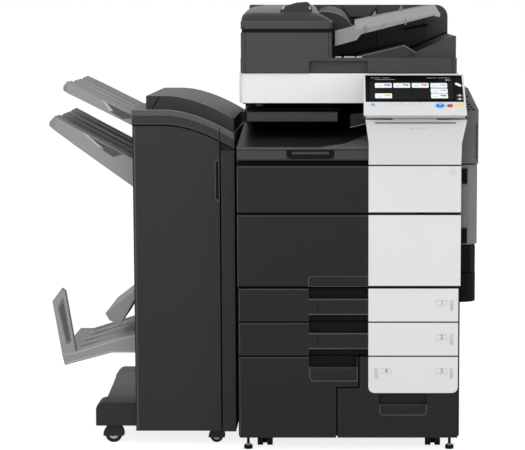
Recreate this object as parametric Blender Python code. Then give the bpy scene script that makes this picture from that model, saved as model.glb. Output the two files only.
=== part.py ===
"""A floor-standing colour photocopier with a document feeder, a tilting panel and a stacking finisher.

Metres, +Z up. While it is modelled, X runs from the copier's middle, Y from its closed fronts
towards its back, and Z from the floor. The whole object is then moved to stand centred on the origin.
"""

import math

import bmesh
import bpy
from mathutils import Matrix, Vector

# Clearances
GAP = 0.0003
SEAM = 0.004
RUNNING = 0.0005
PIN_PLAY = 0.0003

# Modelling: how far a cutter passes what it cuts, and how deep joined shapes reach into each other
OVER = 0.01
BITE = 0.001
PIN_SIDES = 12

# Copier body
BODY_WIDTH = 0.615
BODY_DEPTH = 0.685
BODY_BOTTOM = 0.038
SKIN = 0.003
FRONT_THICKNESS = 0.020
FRAME_SETBACK = 0.004
SIDE_WALL = 0.019
REAR_BAY_DEPTH = 0.080
REAR_BAY_WALL = 0.016

# Heights of the stacked fronts, from the bottom up
LOWER_FRONT_HEIGHT = 0.228
DRAWER_FRONT_HEIGHT = 0.0915
FRONT_DOOR_HEIGHT = 0.200
TONER_DOOR_HEIGHT = 0.131
SHADOW_BAND = 0.015
EXIT_STRIP_HEIGHT = 0.036
EXIT_BAY_HEIGHT = 0.116
SCANNER_HEIGHT = 0.082

# Light trim on the right of the fronts
TRIM_LEFT = 0.0537
TRIM_THICKNESS = 0.004
DRAWER_INSET_LEFT = 0.0035
DRAWER_INSET_RIGHT = 0.0055

# Drawers
DRAWER_REAR_ROOM = 0.145
DRAWER_WALL = 0.003
DRAWER_SIDE_ROOM = 0.018
DRAWER_END_ROOM = 0.006
DRAWER_RUNNER_HEIGHT = 0.012
DRAWER_BITE = 0.002
PAD_INSET = 0.040
PAD_HEIGHT = 0.100
CAVITY_FLOOR = 0.004
DRAWER_BOX_HEIGHT = 0.068
LOWER_BOX_HEIGHT = 0.180
SPLIT_UPPER_X = 0.0277
SPLIT_LOWER_X = -0.0334
SPLIT_HEIGHT = 0.142
BASE_PLATE = 0.012
HANDLE_LEFT = -0.110
HANDLE_DEPTH = 0.015
HANDLE_RADIUS = 0.006
HANDLE_TOP_HEIGHT = 0.028
HANDLE_BOTTOM_HEIGHT = 0.018
LOWER_HANDLE_LEFT = 0.084
LOWER_HANDLE_RIGHT = 0.217
LOWER_HANDLE_RISE = 0.093
LOWER_HANDLE_HEIGHT = 0.031
LOWER_TRIM_HEIGHT = 0.1015
LOWER_TRIM_RADIUS = 0.016

# Doors of the fronts
DOOR_PIVOT_IN = 0.010
DOOR_CHAMFER = 0.004
DOOR_BACK_CHAMFER = 0.003
DOOR_SILL = 0.020
DOOR_SILL_STEP = 0.006
HINGE_X = 0.200
HINGE_WIDTH = 0.016
HINGE_RADIUS = 0.0065
HINGE_PIN_RADIUS = 0.0022
DOOR_NOTCH_DEPTH = 0.0028
DOOR_TRIM_THICKNESS = 0.0022
DOOR_SIDE_WALL = 0.020
DOOR_TOP_WALL = 0.012
TONER_RADIUS = 0.030
TONER_LENGTH = 0.360
TONER_PITCH = 0.132
TRANSFER_LENGTH = 0.520
TRANSFER_DEPTH = 0.340
TRANSFER_HEIGHT = 0.110

# Inner paper exit
BAY_REAR_ROOM = 0.205
COLUMN_LEFT = 0.054
TRAY_RISE = 0.046
TRAY_SHELL = 0.004
PULL_LEFT = -0.167
PULL_RIGHT = -0.044
PULL_BOTTOM = 0.008
PULL_TOP = 0.0265
PULL_DEPTH = 0.016
RELAY_FRONT = 0.130
RELAY_RIGHT = -0.032
RELAY_RISE = 0.062
RELAY_HEIGHT = 0.028

# Panel and its support
SUPPORT_DROP = 0.047
SUPPORT_RISE = 0.078
SUPPORT_KNEE = 0.060
SUPPORT_FORWARD = 0.045
SUPPORT_FLARE_LEFT = 0.0087
SUPPORT_FLARE_RIGHT = 0.0125
SUPPORT_WALL = 0.008
SUPPORT_HOLLOW_FRONT = 0.006
PANEL_LEFT = 0.040
PANEL_WIDTH = 0.277
PANEL_LENGTH = 0.205
PANEL_THICKNESS = 0.022
PANEL_ANGLE = math.radians(30)
PANEL_BACK_GAP = 0.0125
PANEL_BACK_EDGE = 0.012
PANEL_BACK_SLOPE = 0.050
PANEL_FRONT_EDGE = 0.010
PANEL_FRONT_SLOPE = 0.018
PANEL_NECK_INSET = 0.0032
PANEL_NECK_WIDTH = 0.014
PANEL_ROOM_FRONT = 0.014
PANEL_ROOM_BACK = 0.011
PANEL_RISE = 0.094
PANEL_PIVOT_ALONG = 0.028
PANEL_PIVOT_DOWN = 0.014
PANEL_BARREL_RADIUS = 0.005
PANEL_BARREL_LENGTH = 0.120
SCREEN_MARGIN = 0.005
SCREEN_START = 0.064
SCREEN_THICKNESS = 0.003
SCREEN_SINK = 0.0002
KEY_ALONG = 0.045
KEY_SQUASH = 0.7
KEY_SIDES = 20
KEY_DEPTH = 0.006
KEY_PROUD = 0.0015
KEY_TRAVEL_ROOM = 0.0015
START_KEY_X = 0.246
START_KEY_RADIUS = 0.011
STOP_KEY_X = 0.273
STOP_KEY_RADIUS = 0.006

# Scanner
SCANNER_FRONT = 0.110
SCANNER_SIDE_IN = 0.0025
SCANNER_WALL = 0.008
SCANNER_FRONT_WALL = 0.012
SCANNER_CORNER = 0.018
PLATEN_WIDTH = 0.450
PLATEN_DEPTH = 0.330
PLATEN_FRONT = 0.200
PLATEN_THICKNESS = 0.004
PLATEN_LEDGE = 0.008
CARRIAGE_WIDTH = 0.060
CARRIAGE_HEIGHT = 0.040
CARRIAGE_CORNER = 0.004
CARRIAGE_END_ROOM = 0.006

# Document feeder
ADF_SIDE_IN = 0.0065
ADF_FRONT = 0.105
ADF_REAR_SETBACK = 0.021
ADF_BACK_IN = 0.002
ADF_PIVOT_IN = 0.013
ADF_BASE_WALL = 0.012
ADF_BASE_END_WALL = 0.020
ADF_BASE_FLOOR = 0.012
ADF_BASE_ROOF = 0.006
ADF_PAD_BORDER = 0.060
ADF_WALL_RIGHT_RADIUS = 0.035
ADF_WALL_LEFT_RADIUS = 0.006
ADF_LIFT = 0.002
ADF_BASE_HEIGHT = 0.041
ADF_CORNER = 0.006
ADF_WALL_DEPTH = 0.055
ADF_HEIGHT = 0.188
ADF_NOTCH_HEIGHT = 0.033
ADF_NOTCH_DEPTH = 0.014
ADF_PIVOT_RISE = 0.011
ADF_HINGE_WIDTH = 0.050
ADF_HINGE_RADIUS = 0.008
ADF_HINGE_PIN_RADIUS = 0.003
ADF_HINGE_ROOM = 0.004
SLIDE_START = 0.070
SLIDE_FRONT = 0.045
SLIDE_RIM = 0.008
SLIDE_VALLEY = 0.112
SLIDE_RIDGE = 0.143
SLIDE_RIGHT_RISE = 0.060
SLIDE_VALLEY_RISE = 0.016
SLIDE_RIDGE_RISE = 0.036
SLIDE_LOW_RISE = 0.004
FEED_RIGHT = -0.047
FEED_HEIGHT = 0.070
FEED_SIDE_IN = 0.001
FEED_WALL = 0.006
FEED_END_WALL = 0.012
FEED_COVER_GAP = 0.007
FEED_COVER_HEIGHT = 0.069
FEED_COVER_ROUND = 0.030
FEED_COVER_RIGHT_SHARE = 0.6
COVER_PIVOT_IN = 0.0045
COVER_KNUCKLE_RADIUS = 0.0032
COVER_KNUCKLE_HALF = 0.003
COVER_KNUCKLE_WIDTH = 0.005
COVER_PIN_RADIUS = 0.0015
COVER_LUG_FRONT = 0.060
COVER_LUG_BACK = 0.070
HUMP_LEFT = -0.187
HUMP_RIGHT = -0.097
HUMP_HEIGHT = 0.009
HUMP_DEPTH = 0.050
HUMP_FRONT = 0.090
HUMP_LEFT_SLOPE = 0.030
HUMP_RIGHT_SLOPE = 0.012
FEED_HOOD_REACH = 0.060
FEED_HOOD_DEPTH = 0.240
FEED_HOOD_LOW = 0.088
FEED_HOOD_RISE = 0.052
FEED_HOOD_ROOT = 0.010
FEED_HOOD_WALL = 0.003
FEED_ROLLER_RADIUS = 0.012
FEED_ROLLER_LENGTH = 0.060
FEED_SHAFT_RADIUS = 0.003
FEED_SHAFT_REACH = 0.012
FEED_AXLE_IN = 0.050
FEED_AXLE_DOWN = 0.024
ROLLER_EAR_HALF = 0.008
ROLLER_EAR_WIDTH = 0.006
ROLLER_EAR_OUT = 0.007
DOC_TRAY_START = -0.0385
DOC_TRAY_FRONT = 0.150
DOC_TRAY_REAR_ROOM = 0.029
DOC_TRAY_END = 0.256
DOC_TRAY_FLAT_END = 0.017
DOC_TRAY_RISE = 0.0878
DOC_TRAY_SLOPE = 0.2
DOC_ROOT_LOW = 0.032
DOC_ROOT_HIGH = 0.074
DOC_STEP_LEFT = 0.022
DOC_STEP_LOW = 0.049
DOC_SKIRT_START = 0.034
DOC_SKIRT_RISE = 0.065
DOC_SKIRT_SLOPE = 0.2545
DOC_CAP = 0.012
DOC_HOLLOW_START = 0.070
DOC_LUG_INSET = 0.020
DOC_LUG_WIDTH = 0.008
DOC_LUG_HALF = 0.006
DOC_LUG_ROOM = 0.003
HOOD_ROOM_LOW = 0.040
HOOD_ROOM_KNEE = 0.018
HOOD_ROOM_KNEE_RISE = 0.056
HOOD_ROOM_RIGHT = 0.062
HOOD_ROOM_RIGHT_RISE = 0.081
HOOD_ROOM_SIDE = 0.004
DOC_TRAY_PIVOT_X = -0.033
DOC_TRAY_PIVOT_RISE = 0.058
GUIDE_START = 0.060
GUIDE_LENGTH = 0.110
GUIDE_HEIGHT = 0.020
GUIDE_THICKNESS = 0.004
GUIDE_INSET = 0.080
GUIDE_RAKE = 0.030
GUIDE_END_SHARE = 0.6

# Right-hand side
RIGHT_REACH = 0.361
SIDE_FRONT = 0.100
SIDE_REAR_ROOM = 0.085
SIDE_COVER_BOTTOM = 0.795
SIDE_COVER_SHOULDER = 0.944
SIDE_COVER_TOP = 1.005
SIDE_COVER_TOP_X = 0.331
SIDE_SHELL = 0.004
RIGHT_DOOR_BOTTOM = 0.567
RIGHT_DOOR_TOP = 0.791
SIDE_CORNER = 0.040
SIDE_PIN_RADIUS = 0.003
SIDE_REAR_CORNER = 0.006
PIN_SHORT = 0.002
PIN_REACH = 0.0045
SIDE_PIVOT_IN = 0.008
SIDE_LUG_HEIGHT = 0.012
SIDE_LUG_RADIUS = 0.006
SIDE_LUG_HALF = 0.005
SIDE_SLOT_INSET = 0.030
BYPASS_FRONT = 0.160
BYPASS_REAR_ROOM = 0.080
BYPASS_BOTTOM = 0.600
BYPASS_TOP = 0.760
BYPASS_THICKNESS = 0.006
BYPASS_PIN_RADIUS = 0.0015
BYPASS_KNUCKLE_RADIUS = 0.0028
BYPASS_KNUCKLE_LENGTH = 0.012
BYPASS_KNUCKLE_INSET = 0.030
BYPASS_HEEL = 0.0075
BYPASS_HEEL_ROOM = 0.002
BYPASS_PAD_BORDER = 0.010
BYPASS_RELIEF = 0.0018
LOWER_DOOR_BOTTOM = 0.404
LOWER_DOOR_TOP = 0.486
LOWER_DOOR_REACH = 0.357

# Copier casters and feet
CASTER_INSET_X = 0.0715
CASTER_FRONT = 0.077
CASTER_REAR_ROOM = 0.085
CASTER_RADIUS = 0.017
CASTER_WIDTH = 0.015
CASTER_SPREAD = 0.006
CASTER_AXLE_RADIUS = 0.004
FOOT_INSET_X = 0.026
FOOT_Y = 0.034
FOOT_RADIUS = 0.012
FOOT_HEIGHT = 0.010
FOOT_STEM_RADIUS = 0.004
FOOT_STEM_IN = 0.005
FOOT_HOLE_ROOF = 0.002
FOOT_LIFT = 0.0005

# Finisher
DOCK_GAP = 0.0095
DOCK_FRONT = 0.300
DOCK_DEPTH = 0.120
DOCK_LOW = 0.460
DOCK_HEIGHT = 0.080
LUG_RADIUS = 0.005
LUG_HALF = 0.004
LUG_WIDTH = 0.010
FINISHER_WIDTH = 0.2825
FINISHER_FRONT = 0.060
FINISHER_DEPTH = 0.600
FINISHER_BOTTOM = 0.042
FINISHER_SHOULDER = 0.905
FINISHER_FALL = 0.067
FINISHER_FLAT = 0.095
FINISHER_BAND = 0.042
FINISHER_COVER_SEAM = 0.0035
FINISHER_WALL = 0.012
FINISHER_ROOF = 0.030
FINISHER_DOOR_THICKNESS = 0.020
FINISHER_STRIP = 0.0395
FINISHER_BLOCK_INSET = 0.036
FINISHER_BLOCK_RISE = 0.036
FINISHER_BLOCK_SETBACK = 0.040
FINISHER_BLOCK_REAR = 0.020
FINISHER_BLOCK_RIGHT_INSET = 0.004
COVER_LUG_LEFT = 0.030
COVER_LUG_RIGHT = 0.020
COVER_LUG_REACH = 0.014
FINISHER_DOOR_CHAMFER = 0.0045
FINISHER_DOOR_PIVOT = 0.010
FINISHER_DOOR_LIFT = 0.002
FINISHER_DOOR_BORDER = 0.030
FINISHER_DOOR_RIGHT_BORDER = 0.020
DOOR_LUG_RISE = 0.006
DOOR_LUG_DROP = 0.050
DOOR_LUG_ROOM = 0.011
DOOR_LUG_SKIN = 0.0035
LOWER_SLOT_HEIGHT = 0.042
FOLD_SLOT_RISE = 0.114
FOLD_SLOT_HEIGHT = 0.030
UPPER_SLOT_RISE = 0.003
UPPER_SLOT_HEIGHT = 0.010
EXIT_SLOT_INSET = 0.050
SHELL = 0.004
LEG_REACH = 0.114
LEG_BOTTOM = 0.054
LEG_HEIGHT = 0.067
LEG_DEPTH = 0.080
LEG_FRONT = 0.080
LEG_BACK = 0.540
LEG_RADIUS = 0.020
LEG_PLATE_INSET = 0.012
LEG_PLATE_RISE = 0.004
LEG_PLATE_HEIGHT = 0.024
TRAY_FRONT = 0.110
TRAY_DEPTH = 0.450
UPPER_TRAY_REACH = 0.203
UPPER_TRAY_LOW = 0.897
UPPER_TRAY_CLIMB = 0.102
UPPER_TRAY_HEIGHT = 0.031
LOWER_TRAY_REACH = 0.245
LOWER_TRAY_LOW = 0.725
LOWER_TRAY_CLIMB = 0.178
LOWER_TRAY_ROOT_HEIGHT = 0.081
LOWER_TRAY_TIP_HEIGHT = 0.033
STACK_TRAY_NOSE = 0.005
STACK_TRAY_SKIN = 0.0064
STACK_POCKET_SHARES = (0.04, 0.9)
FOLD_TRAY_DEPTH = 0.390
FOLD_TRAY_REACH = 0.236
FOLD_TRAY_BOTTOM = 0.222
FOLD_TRAY_TOP = 0.440
FOLD_ROOT_LOW = 0.036
FOLD_ROOT_HIGH = 0.090
FOLD_SHELF = 0.052
FOLD_SHELF_RISE = 0.078
FOLD_TROUGH = 0.063
FOLD_TROUGH_RISE = 0.040
FOLD_STOPPER_INNER = 0.036
FOLD_STOPPER_STEP = 0.008
FOLD_STOPPER_PEAK = 0.026
FOLD_STOPPER_SLOPE = 0.035
FOLD_STOPPER_DEPTH = 0.030
FOLD_HEEL = 0.032
FOLD_HEEL_RISE = 0.026
FOLD_UNDER_BEND = 0.018
FOLD_WALL = 0.006
FOLD_SKIN = 0.009
FOLD_POCKET_TIP = 0.050
FLAP_REACH = 0.094
FLAP_TOP = 0.424
FLAP_DROP = 0.096
FLAP_DEPTH = 0.300
FLAP_INSET = 0.050
FLAP_PIVOT_OUT = 0.008
FLAP_PIVOT_DOWN = 0.006
FLAP_LUG_INSET = 0.020
FLAP_LUG_WIDTH = 0.008
FLAP_LUG_ROOM = 0.004
FLAP_HEEL = 0.003
FLAP_TIP_DROP = 0.062
FLAP_NOSE = 0.012
FLAP_NOSE_DROP = 0.082
FLAP_UNDER = 0.042
FINISHER_CASTER_WIDTH = 0.018
FINISHER_CASTER_FRONT = 0.118
FINISHER_CASTER_BACK = 0.580
FINISHER_CASTER_OUTER = 0.068
FINISHER_CASTER_INNER = 0.058
HOOD_WALL = 0.004
HOOD_STEM_RADIUS = 0.006
HOOD_STEM_BITE = 0.0035
HOOD_SEAT_DEPTH = 0.016
HOOD_SHELL = 0.005
HOOD_ROOM = 0.0015
HOOD_LOW_SHARE = 0.8
FORK_HALF = 0.009
FORK_LOW_SHARE = 0.6
FORK_BITE = 0.008
WHEEL_HEADROOM = 0.006

# Derived places
HALF = BODY_WIDTH / 2
DRAWER_DEPTH = BODY_DEPTH - DRAWER_REAR_ROOM
BAY_DEPTH = BODY_DEPTH - BAY_REAR_ROOM
SIDE_BACK = BODY_DEPTH - SIDE_REAR_ROOM
BYPASS_BACK = SIDE_BACK - BYPASS_REAR_ROOM
CASTER_BACK = BODY_DEPTH - CASTER_REAR_ROOM
ADF_BACK = BODY_DEPTH - ADF_REAR_SETBACK
DOC_TRAY_DEPTH = ADF_BACK - ADF_WALL_DEPTH - DOC_TRAY_FRONT - DOC_TRAY_REAR_ROOM
PANEL_FRONT = ADF_FRONT - PANEL_BACK_GAP - PANEL_LENGTH * math.cos(PANEL_ANGLE)
FRAME_FRONT = FRONT_THICKNESS + FRAME_SETBACK
DRAWER_2_Z = BODY_BOTTOM + LOWER_FRONT_HEIGHT + SEAM
DRAWER_1_Z = DRAWER_2_Z + DRAWER_FRONT_HEIGHT + SEAM
FRONT_DOOR_Z = DRAWER_1_Z + DRAWER_FRONT_HEIGHT + SEAM
TONER_DOOR_Z = FRONT_DOOR_Z + FRONT_DOOR_HEIGHT + SEAM
STRIP_Z = TONER_DOOR_Z + TONER_DOOR_HEIGHT + SHADOW_BAND
EXIT_LIP_Z = STRIP_Z + EXIT_STRIP_HEIGHT
SCANNER_Z = EXIT_LIP_Z + EXIT_BAY_HEIGHT
SCANNER_TOP = SCANNER_Z + SCANNER_HEIGHT
ADF_Z = SCANNER_TOP + ADF_LIFT
ADF_TOP = ADF_Z + ADF_HEIGHT
FEED_Z = ADF_Z + ADF_BASE_HEIGHT
CAVITY_HALF = HALF - SKIN - GAP - SIDE_WALL
LEFT_BOX_END = SPLIT_LOWER_X - SEAM / 2
RIGHT_BOX_START = SPLIT_UPPER_X + SEAM / 2
FINISHER_RIGHT = -HALF - DOCK_GAP
FINISHER_LEFT = FINISHER_RIGHT - FINISHER_WIDTH
FINISHER_BACK = FINISHER_FRONT + FINISHER_DEPTH
SIDE_LEFT = HALF + 0.001
PANEL_Z = EXIT_LIP_Z + PANEL_RISE

COLOURS = {
    "charcoal": ((0.045, 0.045, 0.047), 0.5, 0.0),
    "dark": ((0.022, 0.022, 0.024), 0.45, 0.0),
    "black": ((0.006, 0.006, 0.006), 0.4, 0.0),
    "light": ((0.74, 0.75, 0.76), 0.4, 0.0),
    "grey": ((0.22, 0.22, 0.23), 0.5, 0.0),
    "steel": ((0.45, 0.45, 0.45), 0.35, 1.0),
    "glass": ((0.10, 0.14, 0.14), 0.05, 0.0),
    "blue": ((0.10, 0.32, 0.80), 0.3, 0.0),
    "red": ((0.60, 0.08, 0.16), 0.3, 0.0),
}


def material(key):
    found = bpy.data.materials.get(key)
    if found:
        return found
    made = bpy.data.materials.new(key)
    made.use_nodes = True
    colour, roughness, metallic = COLOURS[key]
    shader = made.node_tree.nodes["Principled BSDF"]
    shader.inputs["Base Color"].default_value = (*colour, 1)
    shader.inputs["Roughness"].default_value = roughness
    shader.inputs["Metallic"].default_value = metallic
    return made


# Shapes


def as_object(mesh_builder):
    bmesh.ops.recalc_face_normals(mesh_builder, faces=mesh_builder.faces)
    mesh = bpy.data.meshes.new("shape")
    mesh_builder.to_mesh(mesh)
    mesh_builder.free()
    made = bpy.data.objects.new("shape", mesh)
    bpy.context.scene.collection.objects.link(made)
    return made


def loft(loops):
    """A closed solid through loops of points, with as many points in each."""
    builder = bmesh.new()
    rings = [[builder.verts.new(point) for point in loop] for loop in loops]
    builder.faces.new(rings[0])
    builder.faces.new(rings[-1])
    for ring, after in zip(rings, rings[1:]):
        for i in range(len(ring)):
            j = (i + 1) % len(ring)
            builder.faces.new((ring[i], ring[j], after[j], after[i]))
    return as_object(builder)


def prism(outline, axis, start, end):
    """An outline pushed along an axis: (y, z) points for X, (x, z) for Y and (x, y) for Z."""
    places = {
        "X": lambda u, v, w: (w, u, v),
        "Y": lambda u, v, w: (u, w, v),
        "Z": lambda u, v, w: (u, v, w),
    }
    return loft([[places[axis](u, v, w) for u, v in outline] for w in (start, end)])


def box(x, y, z):
    outline = [(x[0], y[0]), (x[1], y[0]), (x[1], y[1]), (x[0], y[1])]
    return prism(outline, "Z", z[0], z[1])


def circle(centre, radius, sides):
    turn = 2 * math.pi / sides
    return [
        (
            centre[0] + radius * math.cos(turn * (i + 0.5)),
            centre[1] + radius * math.sin(turn * (i + 0.5)),
        )
        for i in range(sides)
    ]


def rod(axis, centre, radius, start, end, sides=20):
    return prism(circle(centre, radius, sides), axis, start, end)


def rounded(corners, radii, steps=3):
    """The outline through the corners, each replaced by an arc of its radius, or kept where that is 0."""
    outline = []
    count = len(corners)
    for i, radius in enumerate(radii):
        corner = Vector(corners[i])
        if not radius:
            outline.append(tuple(corner))
            continue
        before = (Vector(corners[i - 1]) - corner).normalized()
        after = (Vector(corners[(i + 1) % count]) - corner).normalized()
        half = math.acos(max(-1, min(1, before.dot(after)))) / 2
        centre = corner + (before + after).normalized() * radius / math.sin(half)
        first = corner + before * radius / math.tan(half) - centre
        sweep = math.pi - 2 * half
        if before.x * after.y - before.y * after.x > 0:
            sweep = -sweep
        for step in range(steps + 1):
            spoke = first.copy()
            spoke.rotate(Matrix.Rotation(sweep * step / steps, 2))
            outline.append(tuple(centre + spoke))
    return outline


def rounded_box(x, y, z, radius, axis="Z"):
    spans = {"X": (y, z, x), "Y": (x, z, y), "Z": (x, y, z)}[axis]
    (a, b), (c, d), along = spans
    outline = rounded([(a, c), (b, c), (b, d), (a, d)], [radius] * 4)
    return prism(outline, axis, along[0], along[1])


def combine(target, tools, operation):
    for tool in tools:
        step = target.modifiers.new("combine", "BOOLEAN")
        step.operation = operation
        step.object = tool
        graph = bpy.context.evaluated_depsgraph_get()
        result = bpy.data.meshes.new_from_object(target.evaluated_get(graph))
        target.modifiers.remove(step)
        old = target.data
        target.data = result
        bpy.data.meshes.remove(old)
        bpy.data.objects.remove(tool)
    return target


def cut(target, *tools):
    return combine(target, tools, "DIFFERENCE")


def join(target, *tools):
    return combine(target, tools, "UNION")


def bored(shape, axis, centre, radius, start, end, sides=PIN_SIDES):
    """The shape with a hole that a pin of this radius turns in."""
    return cut(shape, rod(axis, centre, radius + PIN_PLAY, start - OVER, end + OVER, sides))


def hinge_lug(direction, axis, radius, start, length, foot, pin=None):
    """A bored eye on a foot. The foot is a block, given as its three spans."""
    eye = rod(direction, axis, radius, start, start + length)
    hole = (pin or HINGE_PIN_RADIUS) + PIN_PLAY
    return bored(join(eye, box(*foot)), direction, axis, hole, start, start + length)


def finish(shape, name, colour, parent=None, pivot=(0, 0, 0)):
    """Names the piece and sets its origin at the pivot, under the piece that carries it."""
    shape.name = name
    shape.data.name = name
    pivot = Vector(pivot)
    shape.data.transform(Matrix.Translation(-pivot))
    shape["pivot"] = tuple(pivot)
    shape.location = pivot
    if parent:
        shape.parent = parent
        shape.location = pivot - Vector(parent["pivot"])
    shape.data.materials.clear()
    shape.data.materials.append(material(colour))
    shape.data.shade_smooth()
    shape.data.set_sharp_from_angle(angle=math.radians(30))
    return shape


# Copier body


def cavity_span(front_z, height):
    return (front_z + CAVITY_FLOOR, front_z + height - CAVITY_FLOOR)


def frame_cavities():
    """Spaces cut from the front of the frame, from the lowest up."""
    wide = (-CAVITY_HALF, CAVITY_HALF)
    deep = (0, FRAME_FRONT + DRAWER_DEPTH)
    shallow = (0, FRAME_FRONT + TONER_LENGTH + 0.02)
    lower = (BODY_BOTTOM + BASE_PLATE, BODY_BOTTOM + LOWER_FRONT_HEIGHT - CAVITY_FLOOR)
    yield box((-CAVITY_HALF, LEFT_BOX_END), deep, lower)
    yield box((RIGHT_BOX_START, CAVITY_HALF), deep, lower)
    for front_z in (DRAWER_2_Z, DRAWER_1_Z):
        yield box(wide, deep, cavity_span(front_z, DRAWER_FRONT_HEIGHT))
    for front_z, height in door_fronts():
        yield box(wide, shallow, (front_z + DOOR_SILL, front_z + height - CAVITY_FLOOR))


def door_fronts():
    return ((FRONT_DOOR_Z, FRONT_DOOR_HEIGHT), (TONER_DOOR_Z, TONER_DOOR_HEIGHT))


def caster_places():
    for side, x in (("left", -HALF + CASTER_INSET_X), ("right", HALF - CASTER_INSET_X)):
        for end, y in (("front", CASTER_FRONT), ("rear", CASTER_BACK)):
            yield side, end, x, y


def foot_places():
    return (("left", -HALF + FOOT_INSET_X), ("right", HALF - FOOT_INSET_X))


def add_caster_brackets(frame):
    for _, _, x, y in caster_places():
        bracket = box(
            (x - CASTER_SPREAD + GAP, x + CASTER_SPREAD - GAP),
            (y - CASTER_RADIUS * 0.6, y + CASTER_RADIUS * 0.6),
            (CASTER_RADIUS * 0.5, BODY_BOTTOM + 0.002),
        )
        hole = rod(
            "X",
            (y, CASTER_RADIUS),
            CASTER_AXLE_RADIUS + PIN_PLAY,
            x - CASTER_SPREAD,
            x + CASTER_SPREAD,
        )
        join(frame, cut(bracket, hole))


def add_door_ears(frame):
    for front_z, _ in door_fronts():
        axis = (DOOR_PIVOT_IN, front_z + DOOR_PIVOT_IN)
        for x in (-HINGE_X, HINGE_X):
            span = (x - HINGE_WIDTH / 2, x + HINGE_WIDTH / 2)
            ear = rod("X", axis, HINGE_RADIUS, *span)
            neck = box(
                span,
                (axis[0], FRAME_FRONT + 0.004),
                (axis[1] - HINGE_RADIUS * 0.8, axis[1] + HINGE_RADIUS * 0.8),
            )
            join(frame, bored(join(ear, neck), "X", axis, HINGE_PIN_RADIUS, *span))


def make_frame():
    edge = HALF - SKIN - GAP
    frame = box(
        (-edge, edge), (FRAME_FRONT, BODY_DEPTH - SKIN - GAP), (BODY_BOTTOM, SCANNER_Z - GAP)
    )
    cut(frame, box((-1, COLUMN_LEFT), (-1, BAY_DEPTH), (STRIP_Z, 2)))
    cut(frame, *frame_cavities())
    rear_bay = box(
        (-edge + REAR_BAY_WALL, edge - REAR_BAY_WALL),
        (BODY_DEPTH - REAR_BAY_DEPTH, BODY_DEPTH + 0.1),
        (BODY_BOTTOM + REAR_BAY_WALL, SCANNER_Z - REAR_BAY_WALL),
    )
    upper_bay = box(
        (COLUMN_LEFT + REAR_BAY_WALL, edge - REAR_BAY_WALL),
        (FRAME_FRONT + REAR_BAY_WALL, BODY_DEPTH - REAR_BAY_DEPTH / 2),
        (STRIP_Z + REAR_BAY_WALL, SCANNER_Z - REAR_BAY_WALL),
    )
    cut(frame, rear_bay, upper_bay)
    add_caster_brackets(frame)
    add_door_ears(frame)
    for _, x in foot_places():
        cut(
            frame,
            rod(
                "Z",
                (x, FOOT_Y),
                FOOT_STEM_RADIUS + PIN_PLAY,
                0,
                BODY_BOTTOM + BASE_PLATE - FOOT_HOLE_ROOF,
                PIN_SIDES,
            ),
        )
    for height in (RIGHT_DOOR_BOTTOM, LOWER_DOOR_BOTTOM):
        slot_y = (SIDE_FRONT + SIDE_SLOT_INSET, SIDE_BACK - SIDE_SLOT_INSET)
        slot_z = (height + SIDE_SLOT_INSET, height + 2 * SIDE_SLOT_INSET)
        cut(frame, box((edge - SKIN, edge + OVER), slot_y, slot_z))
    return finish(frame, "main_frame", "dark")


def make_covers(frame):
    left_outline = [
        (FRAME_FRONT, BODY_BOTTOM),
        (BODY_DEPTH - SKIN - GAP, BODY_BOTTOM),
        (BODY_DEPTH - SKIN - GAP, SCANNER_Z - GAP),
        (BAY_DEPTH, SCANNER_Z - GAP),
        (BAY_DEPTH, STRIP_Z - GAP),
        (FRAME_FRONT, STRIP_Z - GAP),
    ]
    left = prism(left_outline, "X", -HALF, -HALF + SKIN)
    finish(left, "left_cover", "charcoal", frame)
    right = box(
        (HALF - SKIN, HALF), (FRAME_FRONT, BODY_DEPTH - SKIN - GAP), (BODY_BOTTOM, SCANNER_Z - GAP)
    )
    finish(right, "right_cover", "charcoal", frame)
    rear = rounded_box(
        (-HALF, HALF), (BODY_DEPTH - SKIN, BODY_DEPTH), (BODY_BOTTOM, SCANNER_Z - GAP), 0.008, "Y"
    )
    finish(rear, "rear_cover", "charcoal", frame)


# Fronts


def trimmed_front(outline, trim_outline):
    """A front panel with a shallow step cut for its light trim, and that trim."""
    front = prism(outline, "Y", 0, FRONT_THICKNESS)
    step = prism(trim_outline, "Y", -OVER, TRIM_THICKNESS)
    return cut(front, step)


def rectangle(left, right, low, high):
    return [(left, low), (right, low), (right, high), (left, high)]


def handle_pocket(left, right, low, high, open_top):
    """A finger recess behind the front face, open upwards or downwards."""
    radius = min(HANDLE_RADIUS, (high - low) / 3)
    corners = rectangle(left, right, low, high)
    radii = [radius, radius, 0, 0] if open_top else [0, 0, radius, radius]
    return prism(rounded(corners, radii), "Y", -OVER, HANDLE_DEPTH)


def open_box(x, y, z):
    outer = box(x, y, z)
    inner = box(
        (x[0] + DRAWER_WALL, x[1] - DRAWER_WALL),
        (y[0] + DRAWER_WALL + FRONT_THICKNESS, y[1] - DRAWER_WALL),
        (z[0] + DRAWER_WALL, z[1] + OVER),
    )
    return cut(outer, inner)


def drawer_back():
    """Where the drawers' boxes end, short of the cavities' back wall."""
    return FRAME_FRONT + DRAWER_DEPTH - DRAWER_END_ROOM


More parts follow.
